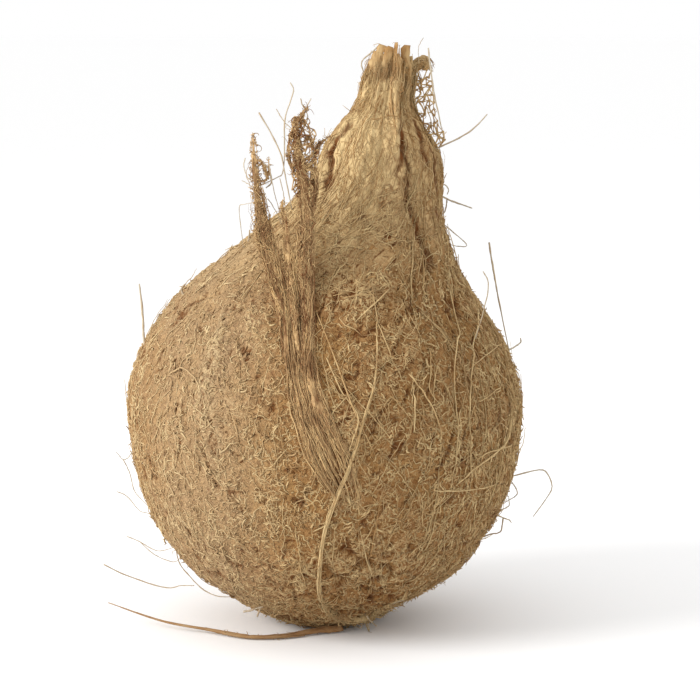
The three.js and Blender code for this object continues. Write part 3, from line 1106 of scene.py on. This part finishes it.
class COCONUT_OT_crown(CoconutOperator):
    """Adds the fibres that lie up the crown, its torn ends with a flap that bends over, and the
    net of threads on its right"""

    bl_idname = "coconut.crown"
    bl_label = "Crown"

    # Each torn end: the angle round from the front where it leaves the crown, its top, and
    # half its width.
    TORN_ENDS = (
        (-1.0, (17.0, 0.8, 174.6), 2.3),
        (-0.35, (19.6, -1.0, 174.0), 1.6),
        (0.15, (21.3, -0.8, 175.2), 1.2),
        (0.75, (24.6, 0.4, 174.4), 1.9),
        (1.6, (25.0, 3.4, 170.5), 1.8),
        (2.3, (23.4, 6.6, 172.8), 2.0),
        (3.1, (20.0, 8.0, 173.4), 2.0),
        (-2.2, (16.6, 6.4, 173.6), 2.0),
        (-1.6, (15.4, 3.4, 172.6), 1.9),
    )
    # The heights at which a torn end lies in the crown, the flap's route and the net's outer edge.
    LEAVES = (146, 153, 159, 164)
    FLAP = (
        (23.0, 2.5, 158), (24.6, 2.8, 163), (26.8, 3.0, 167.4), (29.0, 3.0, 169.3),
        (30.2, 3.0, 168.6), (30.2, 3.0, 166.8),
    )
    NET_EDGE = ((31, 3, 173), (31.5, 3, 168.5), (32.3, 3, 161.5), (33.3, 3, 155), (34.6, 3, 149.5),
                (35, 3, 144))

    def build(self, context):
        rng = np.random.default_rng(31)
        self.add_fibres(rng)
        self.add_torn_ends(rng)
        self.add_net(rng)

    def add_fibres(self, rng):
        nut, rings = self.nut, 11

        def density(turn, way):
            return smooth(112 * MM, 126 * MM, nut.height(way)) * (1 - 0.8 * nut.hollows(turn, way))

        turn, way = nut.scatter(rng, self.fibres.cord_count, density)
        count = len(turn)
        heading = pi / 2 + rng.normal(0, 0.42, count)
        lengths = rng.gamma(3, 2.6, count) * MM
        turning = rng.uniform(0.1, 0.6, count)
        lift = rng.uniform(0.0, 0.3, count) * MM
        tip_lift = np.where(rng.random(count) < 0.06, rng.uniform(0.3, 1.5, count), -0.1) * MM
        paths, normals, hollow = wandering(
            nut, rng, turn, way, heading, lengths, turning, rings, lift, tip_lift
        )
        radii = rng.uniform(0.08, 0.19, count) * MM
        widths = taper(radii, rings, 0.4, 0.4)
        # Darker towards the crown's right: painted shade.
        tone = rng.beta(2, 2, count) + 0.3 - 0.45 * front_half(turn)
        tone = tone + 0.7 * noise(nut.skin(turn, way) * (1, 1, 0.5), 3.5 * MM, 23)
        fibre_piece("crown_fibres", paths, normals, widths, tone, hollow)

    def add_torn_ends(self, rng):
        """Each end is a flat strand that leaves the crown's skin and goes on to a torn top. A ring
        of lower ones fills the gaps between them."""
        fillers = [
            (turn, (20.4 + 4.5 * sin(turn), 3 - 3.9 * cos(turn), rng.uniform(170.5, 172.3)), 2.0)
            for turn in np.linspace(0.2, 0.2 + 2 * pi, 13)[:-1]
        ]
        made = []
        for turn, top, half_width in (*self.TORN_ENDS, *fillers):
            heights = np.array(self.LEAVES) * MM
            turns = np.full(len(heights), turn)
            route, normals = self.nut.coat(turns, self.nut.way(heights), -0.9 * MM)
            centre = curve(np.concatenate([route, [np.array(top) * MM]]), 40)
            self.add_end(rng, made, self.strand(centre, normals[-1], half_width + 0.4, 0.7))
        flap = curve(np.array(self.FLAP) * MM, 40)
        self.add_end(rng, made, self.strand(flap, (-0.4, -0.9, 0.2), 2.1, 0.6))
        points, faces, uv, tone = joined(*made)
        tone = tone - 0.12 + 0.4 * noise(points * (1, 1, 0.5), 2.2 * MM, 45)
        strand_piece("torn_ends", (points, faces, uv, tone), "loose_fibre")

    def add_end(self, rng, made, strand):
        made.append(strand.core(0.66, 0.6))
        made.append(strand.fibres(rng, 115, 0.5, 0.9, 0.15 * MM, 8, wander=0.3, upward=3))
        made.append(strand.tangle(rng, 30, 0.3, 1, 1.1 * MM, 0.45, 0.1 * MM, rings=6))

    def strand(self, centre, facing, half_width, half_thick):
        share = np.linspace(0, 1, len(centre))
        blunt = (1 - 0.3 * smooth(0.93, 1, share)) * (0.5 + 0.5 * smooth(0, 0.2, share))
        facing = np.tile(unit(np.array(facing, float)), (len(centre), 1))
        widening = 0.35 + 0.65 * share
        return Strand(centre, facing, half_width * MM * widening, half_thick * MM * blunt)

    def add_net(self, rng):
        """A net of thick threads between the crown's right side and its outer edge, with a few
        thin fibres that curl out of it."""
        rows, some, rings = 15, 30, 8
        height = np.linspace(145.5, 168.5, rows) * MM
        edge = curve(np.array(self.NET_EDGE) * MM, 80)
        outer = edge[np.argmin(np.abs(edge[None, :, 2] - height[:, None]), axis=1)]
        inner = self.nut.coat(np.full(rows, 1.45), self.nut.way(height), -0.3 * MM)[0]
        radii = (0.17 * MM, 0.4 * MM)
        links, middles = web(rng, inner, outer, 1.2 * MM, radii, 0.8)
        starts = middles[rng.choice(len(middles), some)]
        heads = rng.normal(0, 1, (some, 3)) + (0.8, 0, 0)
        loops = curls(rng, starts, heads, rng.uniform(1, 4, some) * MM, rings, 0.4)
        widths = taper(rng.uniform(0.07, 0.12, some) * MM, rings)
        loops = toned(rng, tubes(loops, TO_FRONT, widths), some, 0.2, 0.9)
        strand_piece("crown_net", joined(links, loops), "loose_fibre")


class COCONUT_OT_standing_strands(CoconutOperator):
    """Adds the three reddish strands that stand up from the front, with their frayed tips, and
    the roots that spread over the front below them"""

    bl_idname = "coconut.standing_strands"
    bl_label = "Standing Strands"

    # Each strand's curve: x and height where it lies on the coat, then free points; then its
    # half width at shares of its length, its fibres, and its tangled fibres.
    STRANDS = {
        "left_husk_strand": (
            ((-9.6, 84), (-10.2, 93), (-11.4, 100)),
            ((-14.0, -37.5, 110), (-16.9, -35, 121), (-18.3, -32.5, 128.5), (-19.6, -30, 137),
             (-20.2, -27, 149.5)),
            ((0, 1.0), (0.2, 1.7), (0.43, 2.2), (0.57, 2.2), (0.66, 1.85), (0.86, 1.45),
             (0.92, 1.1), (0.965, 0.65), (1, 0.3)),
            150, 200,
        ),
        "middle_husk_strand": (
            ((-6.7, 84), (-7.2, 94), (-8.0, 101)),
            ((-9.3, -38.5, 110), (-10.2, -36, 119), (-10.8, -34, 128)),
            ((0, 0.8), (0.5, 1.3), (0.8, 1.4), (1, 0.5)),
            70, 60,
        ),
        "right_husk_strand": (
            ((1.4, 69), (-1.6, 76), (-3.8, 86), (-4.1, 94), (-4.3, 101)),
            ((-5.0, -39.5, 110), (-5.1, -37, 119), (-4.8, -34, 127), (-5.4, -31.5, 134),
             (-6.4, -30, 141)),
            ((0, 2.4), (0.1, 2.4), (0.22, 1.6), (0.42, 1.3), (0.6, 1.8), (0.75, 2.0), (0.88, 2.2),
             (1, 1.5)),
            230, 260,
        ),
    }
    # The right strand's top splits into branches, and the left one has a loop: each one's route
    # and the half widths at its two ends.
    BRANCHES = {
        "left_husk_strand": (
            (((-19.7, -29.5, 140.5), (-18.4, -29.2, 142), (-17.2, -29, 140.6), (-16.7, -29, 139),
              (-16.1, -29, 137.1), (-17.2, -29.6, 136), (-19.3, -30, 136.6)), 0.5, 0.4),
            (((-16.1, -29, 136.8), (-15.6, -29, 139), (-15.7, -29, 142)), 0.28, 0.16),
        ),
        "middle_husk_strand": (
            (((-10.4, -35, 124), (-11.8, -33.5, 128), (-11.6, -33, 131)), 0.5, 0.25),
        ),
        "right_husk_strand": (
            (((-5.6, -31.5, 134), (-7.2, -29.5, 143), (-8.0, -28.5, 149), (-7.2, -28, 153.6)),
             1.7, 1.1),
            (((-3.4, -31.5, 127), (-2.4, -30, 133), (-2.4, -28.5, 139), (-2.6, -27.5, 144)),
             0.9, 0.6),
            (((-2.6, -28, 142), (-1.6, -26.5, 146), (-0.2, -25, 147), (1.8, -24, 148.8)),
             0.55, 0.3),
            (((-2.6, -28, 144), (-3.4, -27.6, 147), (-4.6, -27.6, 148.5), (-5.4, -28, 147)),
             0.4, 0.3),
            (((-6.4, -30.5, 136), (-9.0, -29, 139.5), (-10.0, -28.5, 144), (-9.4, -28, 149),
              (-8.2, -28, 150.5)), 0.5, 0.4),
            (((-2.2, -29, 137), (-3.4, -28.4, 139), (-4.4, -29, 141)), 0.4, 0.35),
            (((-6.8, -28, 152), (-6.2, -27.6, 155), (-4.6, -27, 157)), 0.5, 0.25),
        ),
    }
    # The two layers of the net at the right strand's top lie between these lines.
    TOP_NET = (
        ((-8.4, -31.5, 132), (-8.8, -30, 140), (-9.4, -28.8, 147), (-8.6, -28, 153.5)),
        ((-2.6, -31.5, 128), (-2.2, -30, 138), (-1.8, -28.6, 146), (-5.0, -28, 153)),
    )
    RINGS = 60

    def build(self, context):
        rng = np.random.default_rng(52)
        for name, values in self.STRANDS.items():
            self.add_strand(rng, name, *values)
        self.add_roots(rng)

    def add_strand(self, rng, name, lying, free, widths, fibres, tangled):
        lift = np.interp(np.arange(len(lying)), (0, 1), (-1.0, 0.9)) * MM
        points = self.nut.front(*np.array(lying).T * MM, lift)[0]
        centre = curve(np.concatenate([points, np.array(free) * MM]), self.RINGS)
        shares, sizes = np.array(widths).T
        half = np.interp(np.linspace(0, 1, self.RINGS), shares, sizes) * MM
        strand = self.strand(centre, half)
        first = len(lying) / (len(lying) + len(free))
        made = [
            strand.core(0.55, 0.7),
            strand.fibres(rng, fibres, 0.6, 0.6, 0.15 * MM, rings=18, wander=0.24),
            strand.fibres(rng, fibres // 2, 0.6, 0.6, 0.09 * MM, rings=18, wander=0.45),
            strand.tangle(rng, tangled, first, 1, 2.0 * MM, 0.42, 0.1 * MM),
            strand.tangle(rng, 2 * tangled, first, 1, 0.9 * MM, 0.6, 0.13 * MM, rings=5),
        ]
        for route, wide, narrow in self.BRANCHES[name]:
            centre = curve(np.array(route) * MM, 28)
            branch = self.strand(centre, np.linspace(wide, narrow, 28) * MM)
            made.append(branch.core(0.62, 0.9, sides=9))
            made.append(branch.fibres(rng, int(40 * wide) + 8, 0.5, 0.5, 0.13 * MM, 9, 0.5))
            made.append(branch.tangle(rng, int(50 * wide), 0.1, 1, 2.2 * MM, 0.45, 0.1 * MM))
            made.append(branch.tangle(rng, int(110 * wide), 0.1, 1, 1.0 * MM, 0.7, 0.13 * MM, 5))
        if name == "right_husk_strand":
            inner, outer = (curve(np.array(line) * MM, 13) for line in self.TOP_NET)
            radii = (0.13 * MM, 0.36 * MM)
            for back in (0.0, 0.8 * MM):
                shift = (0, back, back)
                made.append(web(rng, inner + shift, outer + shift, 0.7 * MM, radii)[0])
        strand_piece(
            f"{name}_fibres", joined(*made), "reddish_fibre", replaced=[name],
            slot="reddish_husk",
        )

    def strand(self, centre, half):
        facing = unit(centre - np.array([0, 0, 0.065]))
        return Strand(centre, facing, half, np.minimum(half * 0.6, 1.0 * MM))

    def add_roots(self, rng):
        """The roots fan out from the band where the strands lie together: a root's x at a height
        is the fan's middle there plus a share of its half width, which drifts towards the root's
        lower end, so that roots cross."""
        count, rings = 250, 20
        heights, middles, halves = np.array(ROOT_FAN).T
        top = rng.uniform(72, 105, count)
        bottom = np.minimum(rng.uniform(44, 86, count), top - 8)
        part = np.linspace(0, 1, rings)
        height = bottom[:, None] + (top - bottom)[:, None] * part
        share = rng.uniform(-1, 1, count)[:, None]
        share = share + rng.normal(0, 0.45, count)[:, None] * (1 - part) * (1 - share**2)
        x = np.interp(height, heights, middles) + share * np.interp(height, heights, halves)
        sway = np.cumsum(rng.normal(0, 0.2, (count, rings)), axis=1)
        x = x + sway * smooth(104, 76, height)
        lift = rng.uniform(0.2, 1.3, count)[:, None] * MM
        lift = lift * np.sin(pi * np.linspace(0.03, 0.97, rings)) ** 0.5
        paths, normals = self.nut.front(x * MM, height * MM, lift)
        radii = (0.07 + 0.15 * rng.beta(1.2, 2.2, count)) * MM
        tone = rng.beta(0.9, 0.9, count)[:, None] + smooth(95, 60, height) * 0.3
        fibre_piece(
            "husk_strand_roots", paths, normals, taper(radii, rings), tone,
            material="reddish_fibre", slot="reddish_husk",
        )


class COCONUT_OT_front_strand(CoconutOperator):
    """Adds the pale strand that lies down the front to the base"""

    bl_idname = "coconut.front_strand"
    bl_label = "Front Strand"

    # x and height along it, then half widths at shares of its length.
    ROUTE = (
        (15.0, 97), (14.9, 89), (14.0, 79.5), (11.2, 71.5), (8.2, 61), (4.2, 50), (0.7, 40),
        (-1.2, 26), (-1.0, 17), (0.6, 11), (4.2, 6.4), (9, 4.2), (13.5, 4.6), (17, 7.2),
        (19, 11),
    )
    WIDTHS = (
        (0, 0.22), (0.25, 0.36), (0.55, 0.42), (0.7, 0.85), (0.82, 1.8), (0.93, 1.8), (1, 0.7),
    )

    def build(self, context):
        rng = np.random.default_rng(61)
        rings = 100
        route = curve(np.array(self.ROUTE) * MM, rings)
        centre, facing = self.nut.front(*route.T, np.full(rings, 0.5 * MM))
        share = np.linspace(0, 1, rings)
        half = np.interp(share, *np.array(self.WIDTHS).T) * MM
        strand = Strand(centre, facing, half, half)
        made = joined(
            strand.core(0.7, 0.5, sides=9),
            strand.fibres(rng, 60, 0.5, 0.6, 0.15 * MM, rings=30, wander=0.25),
            strand.tangle(rng, 60, 0.1, 1, 1.8 * MM, 0.45, 0.11 * MM, rings=7),
            strand.tangle(rng, 220, 0.62, 1, 1.5 * MM, 0.6, 0.17 * MM, rings=7),
        )
        made[3][:] += 0.3
        strand_piece(
            "front_husk_strand_fibres", above_floor(made), "loose_fibre",
            replaced=["front_husk_strand"], slot="pale_husk",
        )


class COCONUT_OT_base_strip(CoconutOperator):
    """Adds the strip that runs out over the floor from under the base"""

    bl_idname = "coconut.base_strip"
    bl_label = "Base Strip"

    ROUTE = (
        (5, -17, 1.5), (-2, -20, 1.3), (-13, -25.5, 1.0), (-23, -26, 1.0), (-34, -20, 1.4),
        (-49, -14, 2.6), (-66, -6, 6.2),
    )
    WIDTHS = ((0, 2.0), (0.15, 1.4), (0.3, 0.8), (1, 0.25))

    def build(self, context):
        rng = np.random.default_rng(71)
        rings = 70
        centre = curve(np.array(self.ROUTE) * MM, rings)
        facing = np.tile((0.0, -0.5, 0.87), (rings, 1))
        share = np.linspace(0, 1, rings)
        half = np.interp(share, *np.array(self.WIDTHS).T) * MM
        strand = Strand(centre, facing, half, half * 0.5)
        made = joined(
            strand.core(0.85, 0.25, sides=10),
            strand.fibres(rng, 30, 0.5, 0.7, 0.2 * MM, rings=24, wander=0.12),
            strand.tangle(rng, 30, 0.0, 0.6, 1.6 * MM, 0.4, 0.11 * MM, rings=7),
        )
        strand_piece(
            "base_husk_strip_fibres", above_floor(made), "strip_fibre",
            replaced=["base_husk_strip"], slot="base_strip",
        )


class COCONUT_OT_loose_hairs(CoconutOperator):
    """Adds the single long fibres that stand off the outline or lie across the front"""

    bl_idname = "coconut.loose_hairs"
    bl_label = "Loose Hairs"

    # Fibres that stand free: radius, then a route of points.
    FREE = (
        (0.42, ((-53.5, -4, 82.5), (-54.5, -4, 87), (-55, -4, 94), (-56, -4, 103))),
        (0.35, ((-41, -6, 99), (-42.5, -6, 102), (-41.5, -6, 104))),
        (0.3, ((-22.5, -12, 117), (-22, -12, 120.5))),
        (0.16, ((-58, -6, 53), (-59.5, -6, 50.5), (-61.5, -6, 49.5), (-63.5, -6, 52))),
        (0.16, ((-61.5, -6, 49.5), (-59.5, -6, 45), (-58, -6, 39), (-54, -6, 35))),
        (0.14, ((-63.5, -8, 39.5), (-60.5, -8, 38), (-56.5, -8, 34), (-53, -8, 33), (-50, -8, 29))),
        (0.16, ((-60.5, -8, 26), (-56.5, -8, 24.5), (-53, -8, 22.5), (-49.5, -8, 22),
                (-44, -8, 24))),
        (0.14, ((-56.5, -8, 24.5), (-52.5, -8, 21), (-48.5, -8, 19), (-45.5, -8, 18.5),
                (-42.5, -8, 22))),
        (0.2, ((-67, -14, 18.5), (-59.5, -14, 14.5), (-48.5, -14, 11), (-43.5, -14, 12),
               (-39.5, -14, 12.5))),
        (0.18, ((-45, -14, 26), (-44, -14, 20), (-41.5, -14, 16), (-37, -14, 11.5),
                (-32.5, -14, 10), (-28, -14, 10))),
        (0.35, ((-24, -24, 8), (-21, -24, 8.5), (-18.5, -24, 9.5), (-13, -24, 12))),
        (0.3, ((-20, -24, 6.5), (-18.5, -24, 9.5), (-15, -24, 12.5))),
        (0.12, ((-23.5, -20, 116), (-24.5, -21, 127), (-23, -24, 129), (-19, -30, 130))),
        (0.16, ((-22.5, -27, 142.5), (-23, -27, 140), (-22, -28, 137), (-19.5, -29, 135.5))),
        (0.13, ((-23.5, -27, 136), (-21.5, -28, 135), (-19, -30, 133.5))),
        (0.24, ((-18.5, -27, 155.5), (-15, -27, 149.5), (-12, -27, 143), (-11, -29, 138),
                (-9, -31, 128))),
        (0.22, ((-9.5, -27, 164), (-8.5, -27, 162), (-9.5, -27, 159), (-11, -27, 155),
                (-11.5, -27, 150), (-11.5, -27, 144), (-12, -27, 138.5), (-13.5, -27, 137),
                (-18.5, -29, 134.5))),
        (0.15, ((-13.5, -27, 156.5), (-11.5, -27, 153.5), (-8, -28, 150))),
        (0.17, ((-6.5, -27, 159.5), (-6, -27, 157.5), (-5.5, -27, 155.5), (-6.5, -28, 151))),
        (0.17, ((-3.5, -27, 159.5), (-5, -27, 156.5), (-4.5, -27, 154), (-6, -28, 150))),
        (0.14, ((-16, -30, 131), (-14, -30, 128.5), (-12, -32, 124))),
        (0.13, ((-15.5, -30, 141), (-15, -30, 136.5), (-13.5, -30, 130), (-11.5, -33, 124))),
        (0.13, ((-12.5, -30, 137), (-11.5, -30, 132), (-10.5, -33, 126))),
        (0.3, ((-6, -27, 142), (-3, -25, 143.5), (-1.5, -24, 146), (1.5, -23, 148.5))),
        (0.32, ((-19.5, -29, 139.5), (-17.5, -29, 141), (-15.5, -29, 139), (-15, -29, 135.5),
                (-16.5, -29, 134))),
        (0.24, ((16, 3, 174), (13.5, 3, 171.5), (11, 3, 169), (12, 3, 165), (13.5, 3, 161))),
        (0.1, ((29.5, 3, 176.5), (28, 3, 173.5), (28, 3, 169))),
        (0.26, ((31, 3, 173.5), (31.5, 3, 168.5), (32.5, 3, 161.5), (34, 3, 155), (35, 3, 149.5))),
        (0.26, ((31, 3, 142.5), (37.5, 3, 145.5), (42.5, 3, 148), (46, 3, 151), (48.5, 3, 154))),
        (0.2, ((33, 3, 131), (36, 3, 132.5), (37.5, 3, 131), (37, 3, 129.5))),
        (0.3, ((31, 3, 131), (37.5, 3, 128), (40, 3, 127), (44.5, 3, 125.5))),
        (0.22, ((37, 3, 128), (36.5, 3, 125), (34, 3, 122))),
        (0.18, ((34, 3, 122), (38.5, 3, 118.5), (43, 3, 114.5), (40, 3, 114), (36, 3, 115))),
        (0.28, ((49.5, 2, 115.5), (50.5, 2, 108.5), (52.5, 2, 98), (56, 0, 82))),
        (0.2, ((46.5, -20, 109), (48, -20, 105.5), (47, -22, 98.5), (44, -24, 90))),
        (0.25, ((55, 0, 82), (59, 0, 84.5), (59.5, 0, 86))),
        (0.24, ((42, -8, 41), (51.5, -6, 44), (58, -6, 46), (64.5, -6, 47.5), (67, -6, 46.5),
                (68.5, -6, 42.5), (67, -6, 39), (63, -6, 33))),
        (0.2, ((55, 0, 45), (58.5, 0, 39.5), (55, 0, 36))),
        (0.2, ((53, 0, 33), (56, 0, 35), (56, 0, 38))),
        (0.22, ((50, 0, 33), (55.5, 0, 30.5), (57, 0, 29.5))),
        (0.25, ((54.5, 0, 31), (53.5, 0, 26.5), (50.5, 0, 25.5), (45, 0, 23.5))),
        (0.25, ((12, -20, 6.5), (15.5, -20, 2.5))),
        (0.22, ((19, -22, 9.5), (23.5, -24, 11.5))),
    )
    # Fibres that lie on the front: radius, then x and height along them.
    LYING = (
        (0.24, ((46, 98), (44.5, 89.5), (43, 82), (42, 74), (42, 66))),
        (0.26, ((56, 72), (54.5, 60.5), (49.5, 57.5), (42, 53.5), (38.5, 49.5))),
        (0.2, ((30.5, 89.5), (30.5, 83), (30, 78.5), (33, 74))),
        (0.2, ((18.5, 105), (13.5, 100.5), (9, 97))),
        (0.24, ((24, 83), (28.5, 77), (32, 70), (34.5, 61))),
        (0.24, ((25.5, 80), (25.5, 73.5), (25.5, 67))),
        (0.18, ((52.5, 75.5), (49, 74.5), (45, 73))),
        (0.45, ((4, 6.5), (9, 4.5), (14, 5), (20, 11))),
        (0.26, ((-45.5, 80), (-41.5, 82.5), (-38, 81.5), (-35, 79))),
        (0.24, ((37, 103.5), (40, 93), (38.5, 89.5), (37.5, 80.5), (38.5, 69))),
        (0.16, ((52, 86.5), (44.5, 83.5), (42, 82))),
        (0.14, ((6, 103), (14.5, 103.5), (18.5, 105))),
        (0.16, ((30, 83), (27.5, 81), (25, 81.5))),
        (0.2, ((-2, 100), (3.5, 87.5), (8, 75.5), (11, 68.5), (14.5, 61.5))),
        (0.18, ((1, 88), (5, 79.5), (9.5, 72.5), (8, 66), (6, 58.5))),
        (0.18, ((30.5, 49.5), (36.5, 48.5), (47, 47), (51.5, 48))),
        (0.2, ((57, 57.5), (48, 58), (44.5, 56.5))),
    )

    def build(self, context):
        rng = np.random.default_rng(83)
        self.add_hairs(rng, "loose_hairs", self.FREE, self.free, "hair_fibre")
        self.add_hairs(rng, "lying_hairs", self.LYING, self.lying, "loose_fibre")

    def free(self, route):
        """The route, with the outer part of it moved to the front or the back by noise."""
        outer = smooth(26 * MM, 36 * MM, np.abs(route[:, 0] + 4 * MM))
        route[:, 1] += 9 * MM * outer * noise(route * (1, 0, 1), 26 * MM, 51)
        return route

    def lying(self, route):
        """The route on the coat, lifted from it between its ends."""
        points = 12
        lift = 0.75 * MM * np.sin(pi * np.linspace(0.02, 0.98, points)) ** 0.4
        return self.nut.front(*curve(route, points).T, lift)[0]

    def add_hairs(self, rng, name, hairs, placed, material):
        """Hairs along curves through their routes, each shaken by a small random walk."""
        rings = 22
        sizes, routes = zip(*hairs)
        paths = np.array([curve(placed(np.array(route) * MM), rings) for route in routes])
        steps = rng.normal(0, 0.05, paths.shape) * MM
        paths = paths + np.cumsum(steps, axis=1) * np.sin(pi * np.linspace(0, 1, rings))[:, None]
        widths = taper(np.array(sizes) * MM, rings, 0.9, 0.6)
        widths = widths * rng.uniform(0.8, 1.2, widths.shape)
        made = toned(rng, tubes(paths, TO_FRONT, widths, sides=5), len(paths), 0.4)
        strand_piece(name, made, material)


class COCONUT_OT_stage(bpy.types.Operator):
    """Adds the floor, the light and the camera"""

    bl_idname = "coconut.stage"
    bl_label = "Stage"
    bl_options = {"REGISTER", "UNDO"}

    KEY_PLACE, KEY_AIM, KEY_WIDTH = (-0.85, -0.4, 0.5), (0, 0, 0.08), 0.5

    def execute(self, context):
        scene, stage = context.scene, context.scene.husk_stage
        scene.view_settings.view_transform = "Standard"
        self.add_floor(scene, stage)
        self.add_light(scene, stage)
        self.add_camera(scene, stage)
        return {"FINISHED"}

    def add_floor(self, scene, stage):
        """A round floor: rings of points at radii that grow fourfold."""
        sides, radii = 64, np.array([0.5, 2.0, 8.0, 32.0])
        angle = np.linspace(0, 2 * pi, sides, endpoint=False)
        x, y = np.outer(radii, np.cos(angle)), np.outer(radii, np.sin(angle))
        rings = np.stack([x, y, np.zeros_like(x)], -1).reshape(-1, 3)
        quads = belt(len(radii), sides).reshape(-1, 4)
        mesh = bpy.data.meshes.new("floor")
        mesh.from_pydata(rings, [], [*quads.tolist(), list(range(sides))])
        mesh.update()
        shader = Shader("floor_paint", roughness=0.9, specular=0.1)
        shader.surface.inputs["Base Color"].default_value = (*stage.floor, 1)
        mesh.materials.append(shader.material)
        floor = bpy.data.objects.new("floor", mesh)
        scene.collection.objects.link(floor)
        floor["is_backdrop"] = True

    def add_light(self, scene, stage):
        world = bpy.data.worlds.new("white_room")
        world.use_nodes = True
        background = world.node_tree.nodes["Background"].inputs
        background["Color"].default_value = (1, 1, 1, 1)
        background["Strength"].default_value = stage.sky
        scene.world = world
        light = bpy.data.lights.new("key", "AREA")
        light.shape, light.size, light.energy = "DISK", self.KEY_WIDTH, stage.key
        key = bpy.data.objects.new("key", light)
        key.location = self.KEY_PLACE
        ahead = Vector(self.KEY_AIM) - key.location
        key.rotation_euler = ahead.to_track_quat("-Z", "Y").to_euler()
        scene.collection.objects.link(key)

    def add_camera(self, scene, stage):
        camera = bpy.data.cameras.new("camera")
        camera.lens = camera.sensor_width * stage.distance / stage.view_width
        camera.clip_start = 0.01
        seen = bpy.data.objects.new("camera", camera)
        back = Vector((0, -cos(stage.elevation), sin(stage.elevation))) * stage.distance
        seen.location = Vector(stage.aim) + back
        seen.rotation_euler = (-back).to_track_quat("-Z", "Y").to_euler()
        scene.collection.objects.link(seen)
        scene.camera = seen


OPERATORS = (
    COCONUT_OT_stage,
    COCONUT_OT_coat,
    COCONUT_OT_short_fibres,
    COCONUT_OT_long_fibres,
    COCONUT_OT_crown,
    COCONUT_OT_standing_strands,
    COCONUT_OT_front_strand,
    COCONUT_OT_base_strip,
    COCONUT_OT_loose_hairs,
)


class COCONUT_PT_panel(bpy.types.Panel):
    """Lists the sizes, the colours and the pieces"""

    bl_idname = "COCONUT_PT_panel"
    bl_label = "Coconut"
    bl_category = "Coconut"
    bl_space_type = "VIEW_3D"
    bl_region_type = "UI"

    def draw(self, context):
        for key in SETTINGS:
            box = self.layout.box()
            group = getattr(context.scene, key)
            for name in group.__annotations__:
                box.prop(group, name)
        for operator in OPERATORS:
            self.layout.operator(operator.bl_idname)


SETTINGS = {
    "husk_nut": NutSettings,
    "husk_fibres": FibreSettings,
    "husk_colours": ColourSettings,
    "husk_stage": StageSettings,
}
CLASSES = (*SETTINGS.values(), *OPERATORS, COCONUT_PT_panel)


def register():
    for cls in CLASSES:
        bpy.utils.register_class(cls)
    for key, group in SETTINGS.items():
        setattr(bpy.types.Scene, key, PointerProperty(type=group))


def unregister():
    for key in SETTINGS:
        delattr(bpy.types.Scene, key)
    for cls in reversed(CLASSES):
        bpy.utils.unregister_class(cls)


def main():
    register()
    for operator in OPERATORS:
        getattr(bpy.ops.coconut, operator.bl_idname.split(".")[1])()
    boxes = {"cad": CAD_BOX, "visual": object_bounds()}
    {key: [list(map(float, c)) for c in box] for key, box in boxes.items()}


if __name__ == "__main__":
    main()
